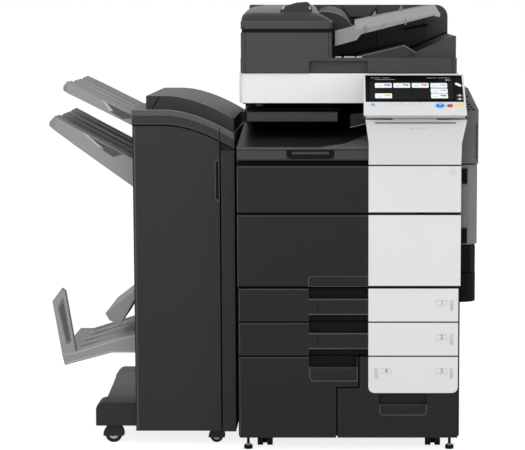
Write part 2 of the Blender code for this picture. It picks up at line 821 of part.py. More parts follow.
def make_drawer(frame, number, front_z):
    left = -HALF + DRAWER_INSET_LEFT
    right = HALF - DRAWER_INSET_RIGHT
    top = front_z + DRAWER_FRONT_HEIGHT
    front = trimmed_front(
        rectangle(left, right, front_z, top), rectangle(
            TRIM_LEFT, right + OVER, front_z - OVER, top + OVER
        )
    )
    cut(
        front,
        handle_pocket(HANDLE_LEFT, TRIM_LEFT - GAP, top - HANDLE_TOP_HEIGHT, top + OVER, True),
    )
    cut(
        front,
        handle_pocket(
            HANDLE_LEFT, TRIM_LEFT - GAP, front_z - OVER, front_z + HANDLE_BOTTOM_HEIGHT, False
        ),
    )
    floor = front_z + CAVITY_FLOOR + RUNNING
    side = CAVITY_HALF - DRAWER_SIDE_ROOM
    tray = open_box(
        (-side, side),
        (FRONT_THICKNESS - DRAWER_BITE, drawer_back()),
        (floor, floor + DRAWER_BOX_HEIGHT),
    )
    runners = [
        box((x0, x1), (FRAME_FRONT, drawer_back()), (floor, floor + DRAWER_RUNNER_HEIGHT))
        for x0, x1 in ((-CAVITY_HALF + RUNNING, -side + BITE), (side - BITE, CAVITY_HALF - RUNNING))
    ]
    join(front, tray, *runners)
    drawer = finish(front, f"drawer_{number}", "dark", frame)
    trim = prism(rectangle(TRIM_LEFT + GAP, right, front_z, top), "Y", 0, TRIM_THICKNESS - GAP)
    finish(trim, f"drawer_{number}_trim", "light", drawer)


def make_lower_drawers(frame):
    bottom = BODY_BOTTOM
    top = bottom + LOWER_FRONT_HEIGHT
    step = bottom + SPLIT_HEIGHT
    half = SEAM / 2
    left_outline = [
        (-HALF + DRAWER_INSET_LEFT, bottom),
        (SPLIT_LOWER_X - half, bottom),
        (SPLIT_LOWER_X - half, step + half),
        (SPLIT_UPPER_X - half, step + half),
        (SPLIT_UPPER_X - half, top),
        (-HALF + DRAWER_INSET_LEFT, top),
    ]
    right_edge = HALF - DRAWER_INSET_RIGHT
    right_outline = [
        (SPLIT_LOWER_X + half, bottom),
        (right_edge, bottom),
        (right_edge, top),
        (SPLIT_UPPER_X + half, top),
        (SPLIT_UPPER_X + half, step - half),
        (SPLIT_LOWER_X + half, step - half),
    ]
    floor = bottom + BASE_PLATE + RUNNING
    box_z = (floor, floor + LOWER_BOX_HEIGHT)
    box_y = (FRONT_THICKNESS + RUNNING, drawer_back())
    side = CAVITY_HALF - RUNNING

    def tray_behind(span):
        """The paper box, and the pad that holds it to the front."""
        pad_x = (span[0] + PAD_INSET, span[1] - PAD_INSET)
        pad_y = (FRONT_THICKNESS - DRAWER_BITE, FRONT_THICKNESS + DRAWER_BITE)
        pad = box(pad_x, pad_y, (floor, floor + PAD_HEIGHT))
        return join(open_box(span, box_y, box_z), pad)

    left = prism(left_outline, "Y", 0, FRONT_THICKNESS)
    cut(
        left,
        handle_pocket(
            HANDLE_LEFT, SPLIT_UPPER_X - half - SEAM, top - HANDLE_TOP_HEIGHT, top + OVER, True
        ),
    )
    join(left, tray_behind((-side, LEFT_BOX_END - RUNNING)))
    finish(left, "drawer_4", "dark", frame)

    trim_low = top - LOWER_TRIM_HEIGHT
    trim_outline = rounded(
        rectangle(
            TRIM_LEFT + GAP, right_edge, trim_low, top
        ), [LOWER_TRIM_RADIUS, LOWER_TRIM_RADIUS, 0, 0]
    )
    step_outline = rounded(
        rectangle(
            TRIM_LEFT, right_edge + LOWER_TRIM_RADIUS, trim_low - GAP, top + OVER
        ), [LOWER_TRIM_RADIUS, 0, 0, 0]
    )
    right = trimmed_front(right_outline, step_outline)
    handle_low = bottom + LOWER_HANDLE_RISE
    pocket = rounded_box(
        (LOWER_HANDLE_LEFT, LOWER_HANDLE_RIGHT), (-OVER, HANDLE_DEPTH), (
            handle_low, handle_low + LOWER_HANDLE_HEIGHT
        ), HANDLE_RADIUS, "Y"
    )
    cut(right, pocket)
    join(right, tray_behind((RIGHT_BOX_START + RUNNING, side)))
    drawer = finish(right, "drawer_3", "dark", frame)
    trim = prism(trim_outline, "Y", 0, TRIM_THICKNESS - GAP)
    finish(trim, "drawer_3_trim", "light", drawer)


def make_front_door(frame, name, front_z, height):
    """A door hinged along its bottom edge, with pins in the ears that stand out of the frame."""
    top = front_z + height
    side_outline = [
        (0, front_z + DOOR_CHAMFER),
        (DOOR_CHAMFER, front_z),
        (FRONT_THICKNESS - DOOR_BACK_CHAMFER, front_z),
        (FRONT_THICKNESS, front_z + DOOR_BACK_CHAMFER),
        (FRONT_THICKNESS, top),
        (0, top),
    ]
    door = prism(side_outline, "X", -HALF, HALF)
    cut(door, box((TRIM_LEFT, HALF + OVER), (-OVER, TRIM_THICKNESS), (front_z - OVER, top + OVER)))
    hollow = box(
        (-HALF + DOOR_SIDE_WALL, HALF - DOOR_SIDE_WALL),
        (TRIM_THICKNESS + SHELL, FRONT_THICKNESS + OVER),
        (front_z + DOOR_SILL + DOOR_SILL_STEP, top - DOOR_TOP_WALL),
    )
    cut(door, hollow)
    axis = (DOOR_PIVOT_IN, front_z + DOOR_PIVOT_IN)
    for x in (-HINGE_X, HINGE_X):
        half = HINGE_WIDTH / 2 + RUNNING
        notch = box(
            (x - half, x + half),
            (DOOR_NOTCH_DEPTH, FRONT_THICKNESS + OVER),
            (front_z - OVER, front_z + DOOR_SILL),
        )
        cut(door, notch)
        join(door, rod("X", axis, HINGE_PIN_RADIUS, x - half - BITE, x + half + BITE, PIN_SIDES))
    door = finish(door, name, "dark", frame, (0, *axis))
    trim = box((TRIM_LEFT + GAP, HALF), (0, DOOR_TRIM_THICKNESS), (front_z + DOOR_CHAMFER, top))
    finish(trim, f"{name}_trim", "light", door)


def make_inner_units(frame):
    toner_floor = TONER_DOOR_Z + DOOR_SILL + GAP
    for i, colour in enumerate(("black", "blue", "red", "grey")):
        x = (i - 1.5) * TONER_PITCH
        tube = rod(
            "Y",
            (x, toner_floor + TONER_RADIUS),
            TONER_RADIUS,
            FRAME_FRONT + 0.01,
            FRAME_FRONT + 0.01 + TONER_LENGTH,
            24,
        )
        grip = box(
            (x - 0.009, x + 0.009),
            (FRAME_FRONT + 0.004, FRAME_FRONT + 0.02),
            (toner_floor + 0.01, toner_floor + 0.05),
        )
        finish(join(tube, grip), f"toner_cartridge_{i + 1}", colour, frame)
    floor = FRONT_DOOR_Z + DOOR_SILL + GAP
    outline = rounded(
        rectangle(
            -TRANSFER_LENGTH / 2, TRANSFER_LENGTH / 2, floor, floor + TRANSFER_HEIGHT
        ), [0.004, 0.004, 0.03, 0.03], 4
    )
    transfer = prism(outline, "Y", FRAME_FRONT + 0.012, FRAME_FRONT + TRANSFER_DEPTH)
    finish(transfer, "transfer_belt_unit", "black", frame)


# Inner paper exit


def tray_outline(inset):
    front = FRAME_FRONT if inset else 0
    back = BAY_DEPTH - GAP - inset
    floor = -0.1 if inset else STRIP_Z + GAP
    rise = EXIT_LIP_Z - inset
    slope = TRAY_RISE / BAY_DEPTH
    return [
        (front, floor), (back, floor), (back, rise + slope * back), (front, rise + slope * front)
    ]


def make_exit(frame):
    left = -HALF
    right = COLUMN_LEFT - GAP
    tray = prism(tray_outline(0), "X", left, right)
    cut(tray, prism(tray_outline(TRAY_SHELL), "X", left + TRAY_SHELL, right - TRAY_SHELL))
    pull = prism(
        rounded(
            rectangle(PULL_LEFT, PULL_RIGHT, STRIP_Z + PULL_BOTTOM, STRIP_Z + PULL_TOP),
            [0.009, 0.009, 0.002, 0.002],
        ),
        "Y", -0.01, PULL_DEPTH,
    )
    cut(tray, pull)
    finish(tray, "exit_tray", "dark", frame)
    relay_z = EXIT_LIP_Z + RELAY_RISE
    relay = rounded_box(
        (-HALF + 0.008, RELAY_RIGHT),
        (RELAY_FRONT, BAY_DEPTH - GAP),
        (relay_z, relay_z + RELAY_HEIGHT),
        0.003,
        "X",
    )
    finish(relay, "relay_unit", "charcoal", frame)


# Panel


def panel_point(along, down):
    """A place on the tilted panel: along its face from the front edge, and down below the face."""
    cos, sin = math.cos(PANEL_ANGLE), math.sin(PANEL_ANGLE)
    return (PANEL_FRONT + along * cos + down * sin, PANEL_Z + along * sin - down * cos)


def panel_slab(along, down, x):
    """A block lying in the panel, between two distances along it and two depths."""
    corners = ((along[0], down[0]), (along[1], down[0]), (along[1], down[1]), (along[0], down[1]))
    return prism([panel_point(*corner) for corner in corners], "X", *x)


def panel_pivot():
    return panel_point(PANEL_PIVOT_ALONG, PANEL_PIVOT_DOWN)


def make_panel_support(frame):
    bottom = EXIT_LIP_Z - SUPPORT_DROP
    top = EXIT_LIP_Z + SUPPORT_RISE
    knee = bottom + SUPPORT_KNEE
    back = FRAME_FRONT - GAP
    lean = SUPPORT_FORWARD * SUPPORT_KNEE / (top - bottom)
    levels = (
        (bottom, TRIM_LEFT + GAP, HALF, 0),
        (knee, TRIM_LEFT + GAP, HALF, -lean),
        (top, TRIM_LEFT - SUPPORT_FLARE_LEFT, HALF + SUPPORT_FLARE_RIGHT, -SUPPORT_FORWARD),
    )
    loops = []
    for z, left, right, front in levels:
        loops.append([(left, front, z), (right, front, z), (right, back, z), (left, back, z)])
    support = loft(loops)
    wall = SUPPORT_WALL
    hollow = box((TRIM_LEFT + wall, HALF - wall), (SUPPORT_HOLLOW_FRONT, HALF), (bottom + wall, top - wall))
    cut(support, hollow)
    join(support, panel_barrel(top))
    finish(support, "panel_support", "light", frame)


def barrel_span():
    centre = PANEL_LEFT + PANEL_WIDTH / 2
    return (centre - PANEL_BARREL_LENGTH / 2, centre + PANEL_BARREL_LENGTH / 2)


def panel_barrel(top):
    """The barrel that the panel tilts on, and the neck that carries it on the support's top."""
    pivot = panel_pivot()
    half = PANEL_BARREL_RADIUS / 2
    foot = -SUPPORT_FORWARD + PANEL_NECK_INSET
    neck = prism(
        [
            (pivot[0] - half, pivot[1]),
            (pivot[0] + half, pivot[1] + half),
            (foot + PANEL_NECK_WIDTH, top - BITE),
            (foot, top - BITE),
        ],
        "X", *barrel_span(),
    )
    barrel = join(rod("X", pivot, PANEL_BARREL_RADIUS, *barrel_span()), neck)
    return bored(barrel, "X", pivot, HINGE_PIN_RADIUS + PIN_PLAY, *barrel_span())


def make_panel(frame):
    x = (PANEL_LEFT, PANEL_LEFT + PANEL_WIDTH)
    outline = [
        (0, 0),
        (PANEL_LENGTH, 0),
        (PANEL_LENGTH, PANEL_BACK_EDGE),
        (PANEL_LENGTH - PANEL_BACK_SLOPE, PANEL_THICKNESS),
        (PANEL_FRONT_SLOPE, PANEL_THICKNESS),
        (0, PANEL_FRONT_EDGE),
    ]
    body = prism([panel_point(*corner) for corner in outline], "X", *x)
    glass_along = (SCREEN_START, PANEL_LENGTH - SCREEN_MARGIN)
    glass_x = (x[0] + SCREEN_MARGIN, x[1] - SCREEN_MARGIN)
    cut(body, panel_slab(glass_along, (-OVER, SCREEN_THICKNESS), glass_x))
    left, right = barrel_span()
    room = (left - RUNNING, right + RUNNING)
    along = (PANEL_PIVOT_ALONG - PANEL_ROOM_FRONT, PANEL_PIVOT_ALONG + PANEL_ROOM_BACK)
    roof = PANEL_PIVOT_DOWN - PANEL_BARREL_RADIUS - BITE
    cut(body, panel_slab(along, (roof, PANEL_THICKNESS + OVER), room))
    join(body, rod("X", panel_pivot(), HINGE_PIN_RADIUS, room[0] - BITE, room[1] + BITE, PIN_SIDES))
    keys = (
        ("start_key", "blue", START_KEY_X, START_KEY_RADIUS),
        ("stop_key", "red", STOP_KEY_X, STOP_KEY_RADIUS),
    )
    for _, _, key_x, radius in keys:
        cut(body, panel_key(key_x, radius + PIN_PLAY, -OVER, KEY_DEPTH + GAP))
    body = finish(body, "panel_body", "light", frame, (0, *panel_pivot()))
    screen = panel_slab(
        (glass_along[0] + GAP, glass_along[1] - GAP),
        (SCREEN_SINK, SCREEN_THICKNESS - GAP),
        (glass_x[0] + GAP, glass_x[1] - GAP),
    )
    finish(screen, "panel_screen", "black", body)
    for name, colour, key_x, radius in keys:
        key = panel_key(key_x, radius, -KEY_PROUD, KEY_DEPTH - KEY_TRAVEL_ROOM)
        finish(key, name, colour, body, (key_x, *panel_point(KEY_ALONG, 0)))


def panel_key(x, radius, top, bottom):
    """A round key, standing square to the panel's face."""
    loops = []
    for down in (top, bottom):
        loop = []
        for u, v in circle((0, 0), radius, KEY_SIDES):
            loop.append((x + u, *panel_point(KEY_ALONG + v * KEY_SQUASH, down)))
        loops.append(loop)
    return loft(loops)


# Scanner


def make_scanner(frame):
    x = (-HALF + SCANNER_SIDE_IN, HALF - SCANNER_SIDE_IN / 2)
    wall = SCANNER_WALL
    housing = rounded_box(x, (SCANNER_FRONT, BODY_DEPTH), (SCANNER_Z, SCANNER_TOP), SCANNER_CORNER)
    inside_y = (SCANNER_FRONT + SCANNER_FRONT_WALL, BODY_DEPTH - wall)
    inside_x = (x[0] + wall, x[1] - wall)
    floor = SCANNER_Z + wall
    cut(housing, box(inside_x, inside_y, (floor, SCANNER_TOP - wall)))
    half = PLATEN_WIDTH / 2
    seat_y = (PLATEN_FRONT, PLATEN_FRONT + PLATEN_DEPTH)
    seat_floor = SCANNER_TOP - PLATEN_THICKNESS - GAP
    cut(housing, box((-half, half), seat_y, (seat_floor, SCANNER_TOP + OVER)))
    ledge = PLATEN_LEDGE
    window = box(
        (-half + ledge, half - ledge),
        (seat_y[0] + ledge, seat_y[1] - ledge),
        (floor + wall, SCANNER_TOP + OVER),
    )
    cut(housing, window)
    for place in (-HINGE_X, HINGE_X):
        add_adf_post(housing, place)
    housing = finish(housing, "scanner_housing", "light", frame)
    glass = box(
        (-half + GAP, half - GAP),
        (seat_y[0] + GAP, seat_y[1] - GAP),
        (SCANNER_TOP - PLATEN_THICKNESS, SCANNER_TOP),
    )
    finish(glass, "platen_glass", "glass", housing)
    start = inside_x[0] + CARRIAGE_END_ROOM
    carriage = rounded_box(
        (start, start + CARRIAGE_WIDTH),
        (inside_y[0] + RUNNING, inside_y[1] - RUNNING),
        (floor + RUNNING, floor + RUNNING + CARRIAGE_HEIGHT),
        CARRIAGE_CORNER,
    )
    finish(carriage, "scan_carriage", "black", housing)


def adf_axis():
    return (BODY_DEPTH - ADF_PIVOT_IN, ADF_Z + ADF_PIVOT_RISE)


def add_adf_post(housing, x):
    """One of the two rear hinge posts of the document feeder."""
    span = (x - ADF_HINGE_WIDTH / 2, x + ADF_HINGE_WIDTH / 2)
    axis = adf_axis()
    barrel = rod("X", axis, ADF_HINGE_RADIUS, *span)
    post_y = (axis[0] - ADF_HINGE_RADIUS / 2, axis[0] + ADF_HINGE_RADIUS)
    post = box(span, post_y, (SCANNER_TOP - BITE, axis[1]))
    hole = ADF_HINGE_PIN_RADIUS + PIN_PLAY
    join(housing, bored(join(barrel, post), "X", axis, hole, *span, sides=16))


# Document feeder


def adf_sides():
    return (-HALF + ADF_SIDE_IN, HALF - ADF_SIDE_IN - 0.001)


def make_adf_base(frame):
    left, right = adf_sides()
    back = BODY_DEPTH - ADF_BACK_IN
    plan = rounded(
        [(left, ADF_FRONT), (right, ADF_FRONT), (right, back), (left, back)],
        [ADF_CORNER, ADF_CORNER, 0, 0],
    )
    base = prism(plan, "Z", ADF_Z, FEED_Z)
    round_rear_edge(base, left, right, back)
    wall_front = ADF_BACK - ADF_WALL_DEPTH
    side, end = ADF_BASE_WALL, ADF_BASE_END_WALL
    upper = box(
        (left + side, right - side),
        (ADF_FRONT + end, wall_front - end),
        (ADF_Z + ADF_BASE_FLOOR, FEED_Z - ADF_BASE_ROOF),
    )
    cut(base, upper)
    border = ADF_PAD_BORDER
    lower = box(
        (left + border, right - border),
        (ADF_FRONT + border, wall_front - border),
        (ADF_Z - OVER, ADF_Z + ADF_BASE_FLOOR + BITE),
    )
    cut(base, lower)
    wall_outline = rectangle(left, right, FEED_Z - 2 * BITE, ADF_TOP)
    wall_radii = [0, 0, ADF_WALL_RIGHT_RADIUS, ADF_WALL_LEFT_RADIUS]
    join(base, prism(rounded(wall_outline, wall_radii, 5), "Y", wall_front, ADF_BACK))
    join(base, exit_slide(right - GAP, wall_front))
    notch = rounded(
        rectangle(HANDLE_LEFT, TRIM_LEFT, ADF_Z - OVER, ADF_Z + ADF_NOTCH_HEIGHT),
        [0, 0, ADF_CORNER, ADF_CORNER],
    )
    cut(base, prism(notch, "Y", ADF_FRONT - OVER, ADF_FRONT + ADF_NOTCH_DEPTH))
    axis = adf_axis()
    for x in (-HINGE_X, HINGE_X):
        half = ADF_HINGE_WIDTH / 2 + RUNNING
        room_front = axis[0] - ADF_HINGE_RADIUS - ADF_HINGE_ROOM
        room = box((x - half, x + half), (room_front, BODY_DEPTH), (ADF_Z - OVER, FEED_Z + OVER))
        cut(base, room)
        join(base, rod("X", axis, ADF_HINGE_PIN_RADIUS, x - half - BITE, x + half + BITE, 16))
    return finish(base, "adf_base", "charcoal", frame, (0, *axis))


def round_rear_edge(base, left, right, back):
    """Rounds the base's lower rear edge about its hinge, so that it clears the scanner as it lifts."""
    axis = adf_axis()
    cut(base, box((left - OVER, right + OVER), (axis[0], back + OVER), (ADF_Z - OVER, axis[1])))
    radius = min(back - axis[0], axis[1] - ADF_Z) - GAP
    join(base, rod("X", axis, radius, left, right, 32))


def exit_slide(right, wall_front):
    """The sloping floor that fed sheets slide down on, right of the feed unit."""
    start = FEED_RIGHT + SLIDE_START
    outline = [
        (start, FEED_Z - BITE),
        (right, FEED_Z - BITE),
        (right, FEED_Z + SLIDE_RIGHT_RISE),
        (right - SLIDE_RIM, FEED_Z + SLIDE_RIGHT_RISE),
        (right - SLIDE_VALLEY, FEED_Z + SLIDE_VALLEY_RISE),
        (right - SLIDE_RIDGE, FEED_Z + SLIDE_RIDGE_RISE),
        (start, FEED_Z + SLIDE_LOW_RISE),
    ]
    return prism(outline, "Y", ADF_FRONT + SLIDE_FRONT, wall_front + BITE)


def feed_span():
    """The feed unit's sides."""
    return (adf_sides()[0] + FEED_SIDE_IN, FEED_RIGHT)


def feed_depth():
    return (ADF_FRONT, ADF_BACK - ADF_WALL_DEPTH - GAP)


def make_feed_unit(base):
    x, y = feed_span(), feed_depth()
    z = (FEED_Z + GAP, FEED_Z + FEED_HEIGHT)
    unit = rounded_box(x, y, z, ADF_CORNER)
    inside = box(
        (x[0] + FEED_WALL, x[1] - FEED_WALL),
        (y[0] + FEED_END_WALL, y[1] - FEED_END_WALL),
        (z[0] + FEED_WALL, z[1] + OVER),
    )
    cut(unit, inside)
    axle = (x[1] - FEED_AXLE_IN, z[1] - FEED_AXLE_DOWN)
    middle = (y[0] + y[1]) / 2
    for place in (middle - FEED_ROLLER_LENGTH / 2 - ROLLER_EAR_OUT, middle + FEED_ROLLER_LENGTH / 2 + BITE):
        join(unit, roller_ear(axle, place, z[0] + FEED_WALL - BITE))
    axis = feed_cover_axis()
    half = COVER_KNUCKLE_HALF
    for start in feed_cover_lugs(y):
        foot = ((axis[0] - half, axis[0] + half), (start, start + LUG_WIDTH), (z[1] - 2 * BITE, axis[1]))
        join(unit, hinge_lug("Y", axis, COVER_KNUCKLE_RADIUS, start, LUG_WIDTH, foot, COVER_PIN_RADIUS))
    pivot = doc_tray_pivot()
    half = DOC_LUG_HALF
    for start in doc_tray_lugs():
        ear = box(
            (x[1] - 2 * BITE, pivot[0] + half),
            (start, start + DOC_LUG_WIDTH),
            (pivot[1] - half, pivot[1] + half),
        )
        hole = HINGE_PIN_RADIUS + PIN_PLAY
        join(unit, bored(ear, "Y", pivot, hole, start, start + DOC_LUG_WIDTH))
    unit = finish(unit, "adf_feed_unit", "charcoal", base)
    make_feed_roller(unit, axle, middle)
    make_feed_cover(unit, x, y)


def roller_ear(axle, start, low):
    half = ROLLER_EAR_HALF
    ear = box(
        (axle[0] - half, axle[0] + half), (start, start + ROLLER_EAR_WIDTH), (low, axle[1] + half)
    )
    end = start + ROLLER_EAR_WIDTH
    return bored(ear, "Y", axle, FEED_SHAFT_RADIUS + PIN_PLAY, start, end, sides=16)


def make_feed_roller(unit, axle, middle):
    half = FEED_ROLLER_LENGTH / 2
    reach = half + FEED_SHAFT_REACH
    roller = rod("Y", axle, FEED_ROLLER_RADIUS, middle - half, middle + half, 24)
    join(roller, rod("Y", axle, FEED_SHAFT_RADIUS, middle - reach, middle + reach, 16))
    finish(roller, "adf_feed_roller", "black", unit, (axle[0], middle, axle[1]))


def feed_cover_axis():
    """The cover turns on pins that lie in the gap under its left wall."""
    return (feed_span()[0] + COVER_PIVOT_IN, FEED_Z + FEED_HEIGHT + FEED_COVER_GAP / 2)


def feed_cover_lugs(y):
    return (y[0] + COVER_LUG_FRONT, y[1] - COVER_LUG_BACK)


def make_feed_cover(unit, x, y):
    low = FEED_Z + FEED_HEIGHT + FEED_COVER_GAP
    high = low + FEED_COVER_HEIGHT
    radii = [0, 0, FEED_COVER_ROUND * FEED_COVER_RIGHT_SHARE, FEED_COVER_ROUND]
    cover = prism(rounded(rectangle(x[0], x[1], low, high), radii, 5), "Y", *y)
    inner = rectangle(x[0] + SHELL, x[1] - SHELL, low - OVER, high - SHELL)
    inner_radii = [0, 0, radii[2] - SHELL, radii[3] - SHELL]
    cut(cover, prism(rounded(inner, inner_radii, 5), "Y", y[0] + SHELL, y[1] - SHELL))
    hump_y = y[0] + HUMP_FRONT
    hump_outline = [
        (HUMP_LEFT, high - BITE),
        (HUMP_RIGHT, high - BITE),
        (HUMP_RIGHT - HUMP_RIGHT_SLOPE, high + HUMP_HEIGHT),
        (HUMP_LEFT + HUMP_LEFT_SLOPE, high + HUMP_HEIGHT),
    ]
    join(cover, prism(hump_outline, "Y", hump_y, hump_y + HUMP_DEPTH))
    join(cover, feed_hood(x[1], y))
    axis = feed_cover_axis()
    half = COVER_KNUCKLE_HALF
    width = COVER_KNUCKLE_WIDTH
    for start in feed_cover_lugs(y):
        for edge in (start - width - BITE, start + LUG_WIDTH + BITE):
            knuckle = rod("Y", axis, COVER_KNUCKLE_RADIUS, edge, edge + width)
            web = box((axis[0] - half, axis[0] + half), (edge, edge + width), (axis[1], low + BITE))
            join(cover, join(knuckle, web))
        pin = (start - width, start + LUG_WIDTH + width)
        join(cover, rod("Y", axis, COVER_PIN_RADIUS, *pin, PIN_SIDES))
    finish(cover, "adf_top_cover", "charcoal", unit, (axis[0], 0, axis[1]))


def feed_hood_span(y):
    middle = (y[0] + y[1]) / 2
    return (middle - FEED_HOOD_DEPTH / 2, middle + FEED_HOOD_DEPTH / 2)


def feed_hood(edge, y):
    """The curved hood over the pick-up rollers, which stands out of the cover's right side."""
    centre = (edge - FEED_HOOD_ROOT, FEED_Z + FEED_HOOD_LOW)
    outline = []
    for inset, turns in ((0, range(7)), (FEED_HOOD_WALL, range(6, -1, -1))):
        for i in turns:
            angle = math.radians(15 * i)
            across = (FEED_HOOD_REACH + FEED_HOOD_ROOT - inset) * math.cos(angle)
            rise = (FEED_HOOD_RISE - inset) * math.sin(angle)
            outline.append((centre[0] + across, centre[1] + rise))
    return prism(outline, "Y", *feed_hood_span(y))


def doc_tray_pivot():
    return (DOC_TRAY_PIVOT_X, FEED_Z + DOC_TRAY_PIVOT_RISE)


def doc_tray_top(x):
    """Height of the document tray's top at a place along it."""
    return FEED_Z + DOC_TRAY_RISE + (x - DOC_TRAY_FLAT_END) * DOC_TRAY_SLOPE


def doc_tray_under(x):
    """Height of the sloping underside of the document tray's skirt."""
    return FEED_Z + DOC_SKIRT_RISE + (x - DOC_SKIRT_START) * DOC_SKIRT_SLOPE


def doc_tray_lugs():
    rear = DOC_TRAY_FRONT + DOC_TRAY_DEPTH - DOC_LUG_INSET - DOC_LUG_WIDTH
    return (DOC_TRAY_FRONT + DOC_LUG_INSET, rear)


def make_document_tray(base):
    start = DOC_TRAY_START
    end = DOC_TRAY_END
    outline = [
        (start, FEED_Z + DOC_ROOT_LOW),
        (DOC_STEP_LEFT, FEED_Z + DOC_STEP_LOW),
        (DOC_SKIRT_START, doc_tray_under(DOC_SKIRT_START)),
        (end - DOC_CAP / 6, doc_tray_under(end - DOC_CAP / 6)),
        (end, doc_tray_under(end) + DOC_CAP / 5),
        (end - DOC_CAP, doc_tray_top(end - DOC_CAP)),
        (DOC_TRAY_FLAT_END, doc_tray_top(DOC_TRAY_FLAT_END)),
        (start, FEED_Z + DOC_ROOT_HIGH),
    ]
    y = (DOC_TRAY_FRONT, DOC_TRAY_FRONT + DOC_TRAY_DEPTH)
    tray = prism(outline, "Y", *y)
    inside = (DOC_HOLLOW_START, end - DOC_CAP - SHELL)
    hollow = [
        (inside[0], doc_tray_under(inside[0]) - OVER),
        (inside[1], doc_tray_under(inside[1]) - OVER),
        (inside[1], doc_tray_top(inside[1]) - SHELL),
        (inside[0], doc_tray_top(inside[0]) - SHELL),
    ]
    cut(tray, prism(hollow, "Y", y[0] + SHELL, y[1] - SHELL))
    cut(tray, hood_room())
    pivot = doc_tray_pivot()
    room = DOC_LUG_HALF + DOC_LUG_ROOM
    for low in doc_tray_lugs():
        high = low + DOC_LUG_WIDTH
        notch = box(
            (start - OVER, pivot[0] + room),
            (low - RUNNING, high + RUNNING),
            (pivot[1] - room, pivot[1] + room),
        )
        cut(tray, notch)
        join(tray, rod("Y", pivot, HINGE_PIN_RADIUS, low - PIN_REACH, high + PIN_REACH, PIN_SIDES))
    tray = finish(tray, "adf_document_tray", "grey", base, (pivot[0], 0, pivot[1]))
    rear = y[1] - GUIDE_INSET - GUIDE_THICKNESS
    for name, place in (("adf_guide_front", y[0] + GUIDE_INSET), ("adf_guide_rear", rear)):
        make_guide(tray, name, place)


def hood_room():
    """Space in the document tray that the hood dips into."""
    hood = feed_hood_span(feed_depth())
    start = DOC_TRAY_START - OVER
    outline = [
        (start, FEED_Z + HOOD_ROOM_LOW),
        (HOOD_ROOM_KNEE, FEED_Z + HOOD_ROOM_KNEE_RISE),
        (HOOD_ROOM_RIGHT, FEED_Z + HOOD_ROOM_RIGHT_RISE),
        (HOOD_ROOM_RIGHT, ADF_TOP),
        (start, ADF_TOP),
    ]
    return prism(outline, "Y", hood[0] - HOOD_ROOM_SIDE, hood[1] + HOOD_ROOM_SIDE)


def make_guide(tray, name, place):
    end = GUIDE_START + GUIDE_LENGTH
    profile = [
        (GUIDE_START, doc_tray_top(GUIDE_START) + GAP),
        (end, doc_tray_top(end) + GAP),
        (end - GUIDE_THICKNESS, doc_tray_top(end) + GUIDE_HEIGHT * GUIDE_END_SHARE),
        (GUIDE_START + GUIDE_RAKE, doc_tray_top(GUIDE_START) + GUIDE_HEIGHT),
    ]
    guide = prism(profile, "Y", place, place + GUIDE_THICKNESS)
    finish(guide, name, "grey", tray, (GUIDE_START, place, doc_tray_top(GUIDE_START)))


# Right-hand side


def side_shell(outline_for, axis, span, inset):
    shell = prism(outline_for(0), axis, *span)
    return cut(shell, prism(outline_for(inset), axis, span[0] + inset, span[1] - inset))


def make_side_cover(frame):
    def outline(inset):
        left = SIDE_LEFT - (0.01 if inset else 0)
        right = RIGHT_REACH - inset
        return [
            (left, SIDE_COVER_BOTTOM + inset),
            (right, SIDE_COVER_BOTTOM + inset),
            (right, SIDE_COVER_SHOULDER),
            (SIDE_COVER_TOP_X, SIDE_COVER_TOP - inset),
            (left, SIDE_COVER_TOP - inset),
        ]

    cover = side_shell(outline, "Y", (SIDE_FRONT, SIDE_BACK), SIDE_SHELL)
    bridge = box(
        (HALF + GAP, SIDE_LEFT + 0.001), (0.3, 0.4), (SIDE_COVER_BOTTOM, SIDE_COVER_BOTTOM + 0.004)
    )
    finish(join(cover, bridge), "right_upper_cover", "grey", frame)


def side_axis():
    return (SIDE_LEFT + SIDE_PIVOT_IN, SIDE_BACK - SIDE_PIVOT_IN)


def lug_spans(low, high):
    """Heights of a side door's two lugs, the lower one first."""
    return ((low, low + SIDE_LUG_HEIGHT), (high - SIDE_LUG_HEIGHT, high))


def side_door(reach, low, high):
    """A door on the right side that turns about upright pins at its rear edge."""
    axis = side_axis()

    def outline(inset):
        left = SIDE_LEFT - (OVER if inset else 0)
        front = SIDE_FRONT + inset
        back = SIDE_BACK - inset * 4
        corners = [(left, front), (reach - inset, front), (reach - inset, back), (left, back)]
        return rounded(
            corners, [0, SIDE_CORNER - inset, SIDE_REAR_CORNER, 0 if inset else SIDE_PIVOT_IN], 4
        )

    door = prism(outline(0), "Z", low, high)
    cut(door, prism(outline(SIDE_SHELL), "Z", low + SIDE_SHELL, high - SIDE_SHELL))
    lower, upper = lug_spans(low, high)
    rooms = ((lower[0] - OVER, lower[1] + RUNNING), (upper[0] - RUNNING, upper[1] + OVER))
    pins = (
        (lower[0] + PIN_SHORT, lower[1] + PIN_REACH), (upper[0] - PIN_REACH, upper[1] - PIN_SHORT)
    )
    for room, pin in zip(rooms, pins):
        slot_x = (HALF - OVER, axis[0] + SIDE_LUG_RADIUS + PIN_SHORT)
        slot_y = (axis[1] - SIDE_LUG_RADIUS - 1.5 * PIN_SHORT, SIDE_BACK + OVER)
        cut(door, box(slot_x, slot_y, room))
        join(door, rod("Z", axis, SIDE_PIN_RADIUS, *pin, PIN_SIDES))
    return door


def add_side_lugs(low, high):
    """The lugs of the right cover that a side door's pins turn in."""
    axis = side_axis()
    for span in lug_spans(low, high):
        lug = rod("Z", axis, SIDE_LUG_RADIUS, *span)
        foot_y = (axis[1] - SIDE_LUG_HALF, axis[1] + SIDE_LUG_HALF)
        join(lug, box((HALF - BITE, axis[0]), foot_y, span))
        join(bpy.data.objects["right_cover"], bored(lug, "Z", axis, SIDE_PIN_RADIUS, *span))


def bypass_span():
    return (RIGHT_REACH - BYPASS_THICKNESS, RIGHT_REACH)


def bypass_axis():
    half = BYPASS_THICKNESS / 2
    return (bypass_span()[0] + half, BYPASS_BOTTOM + half)


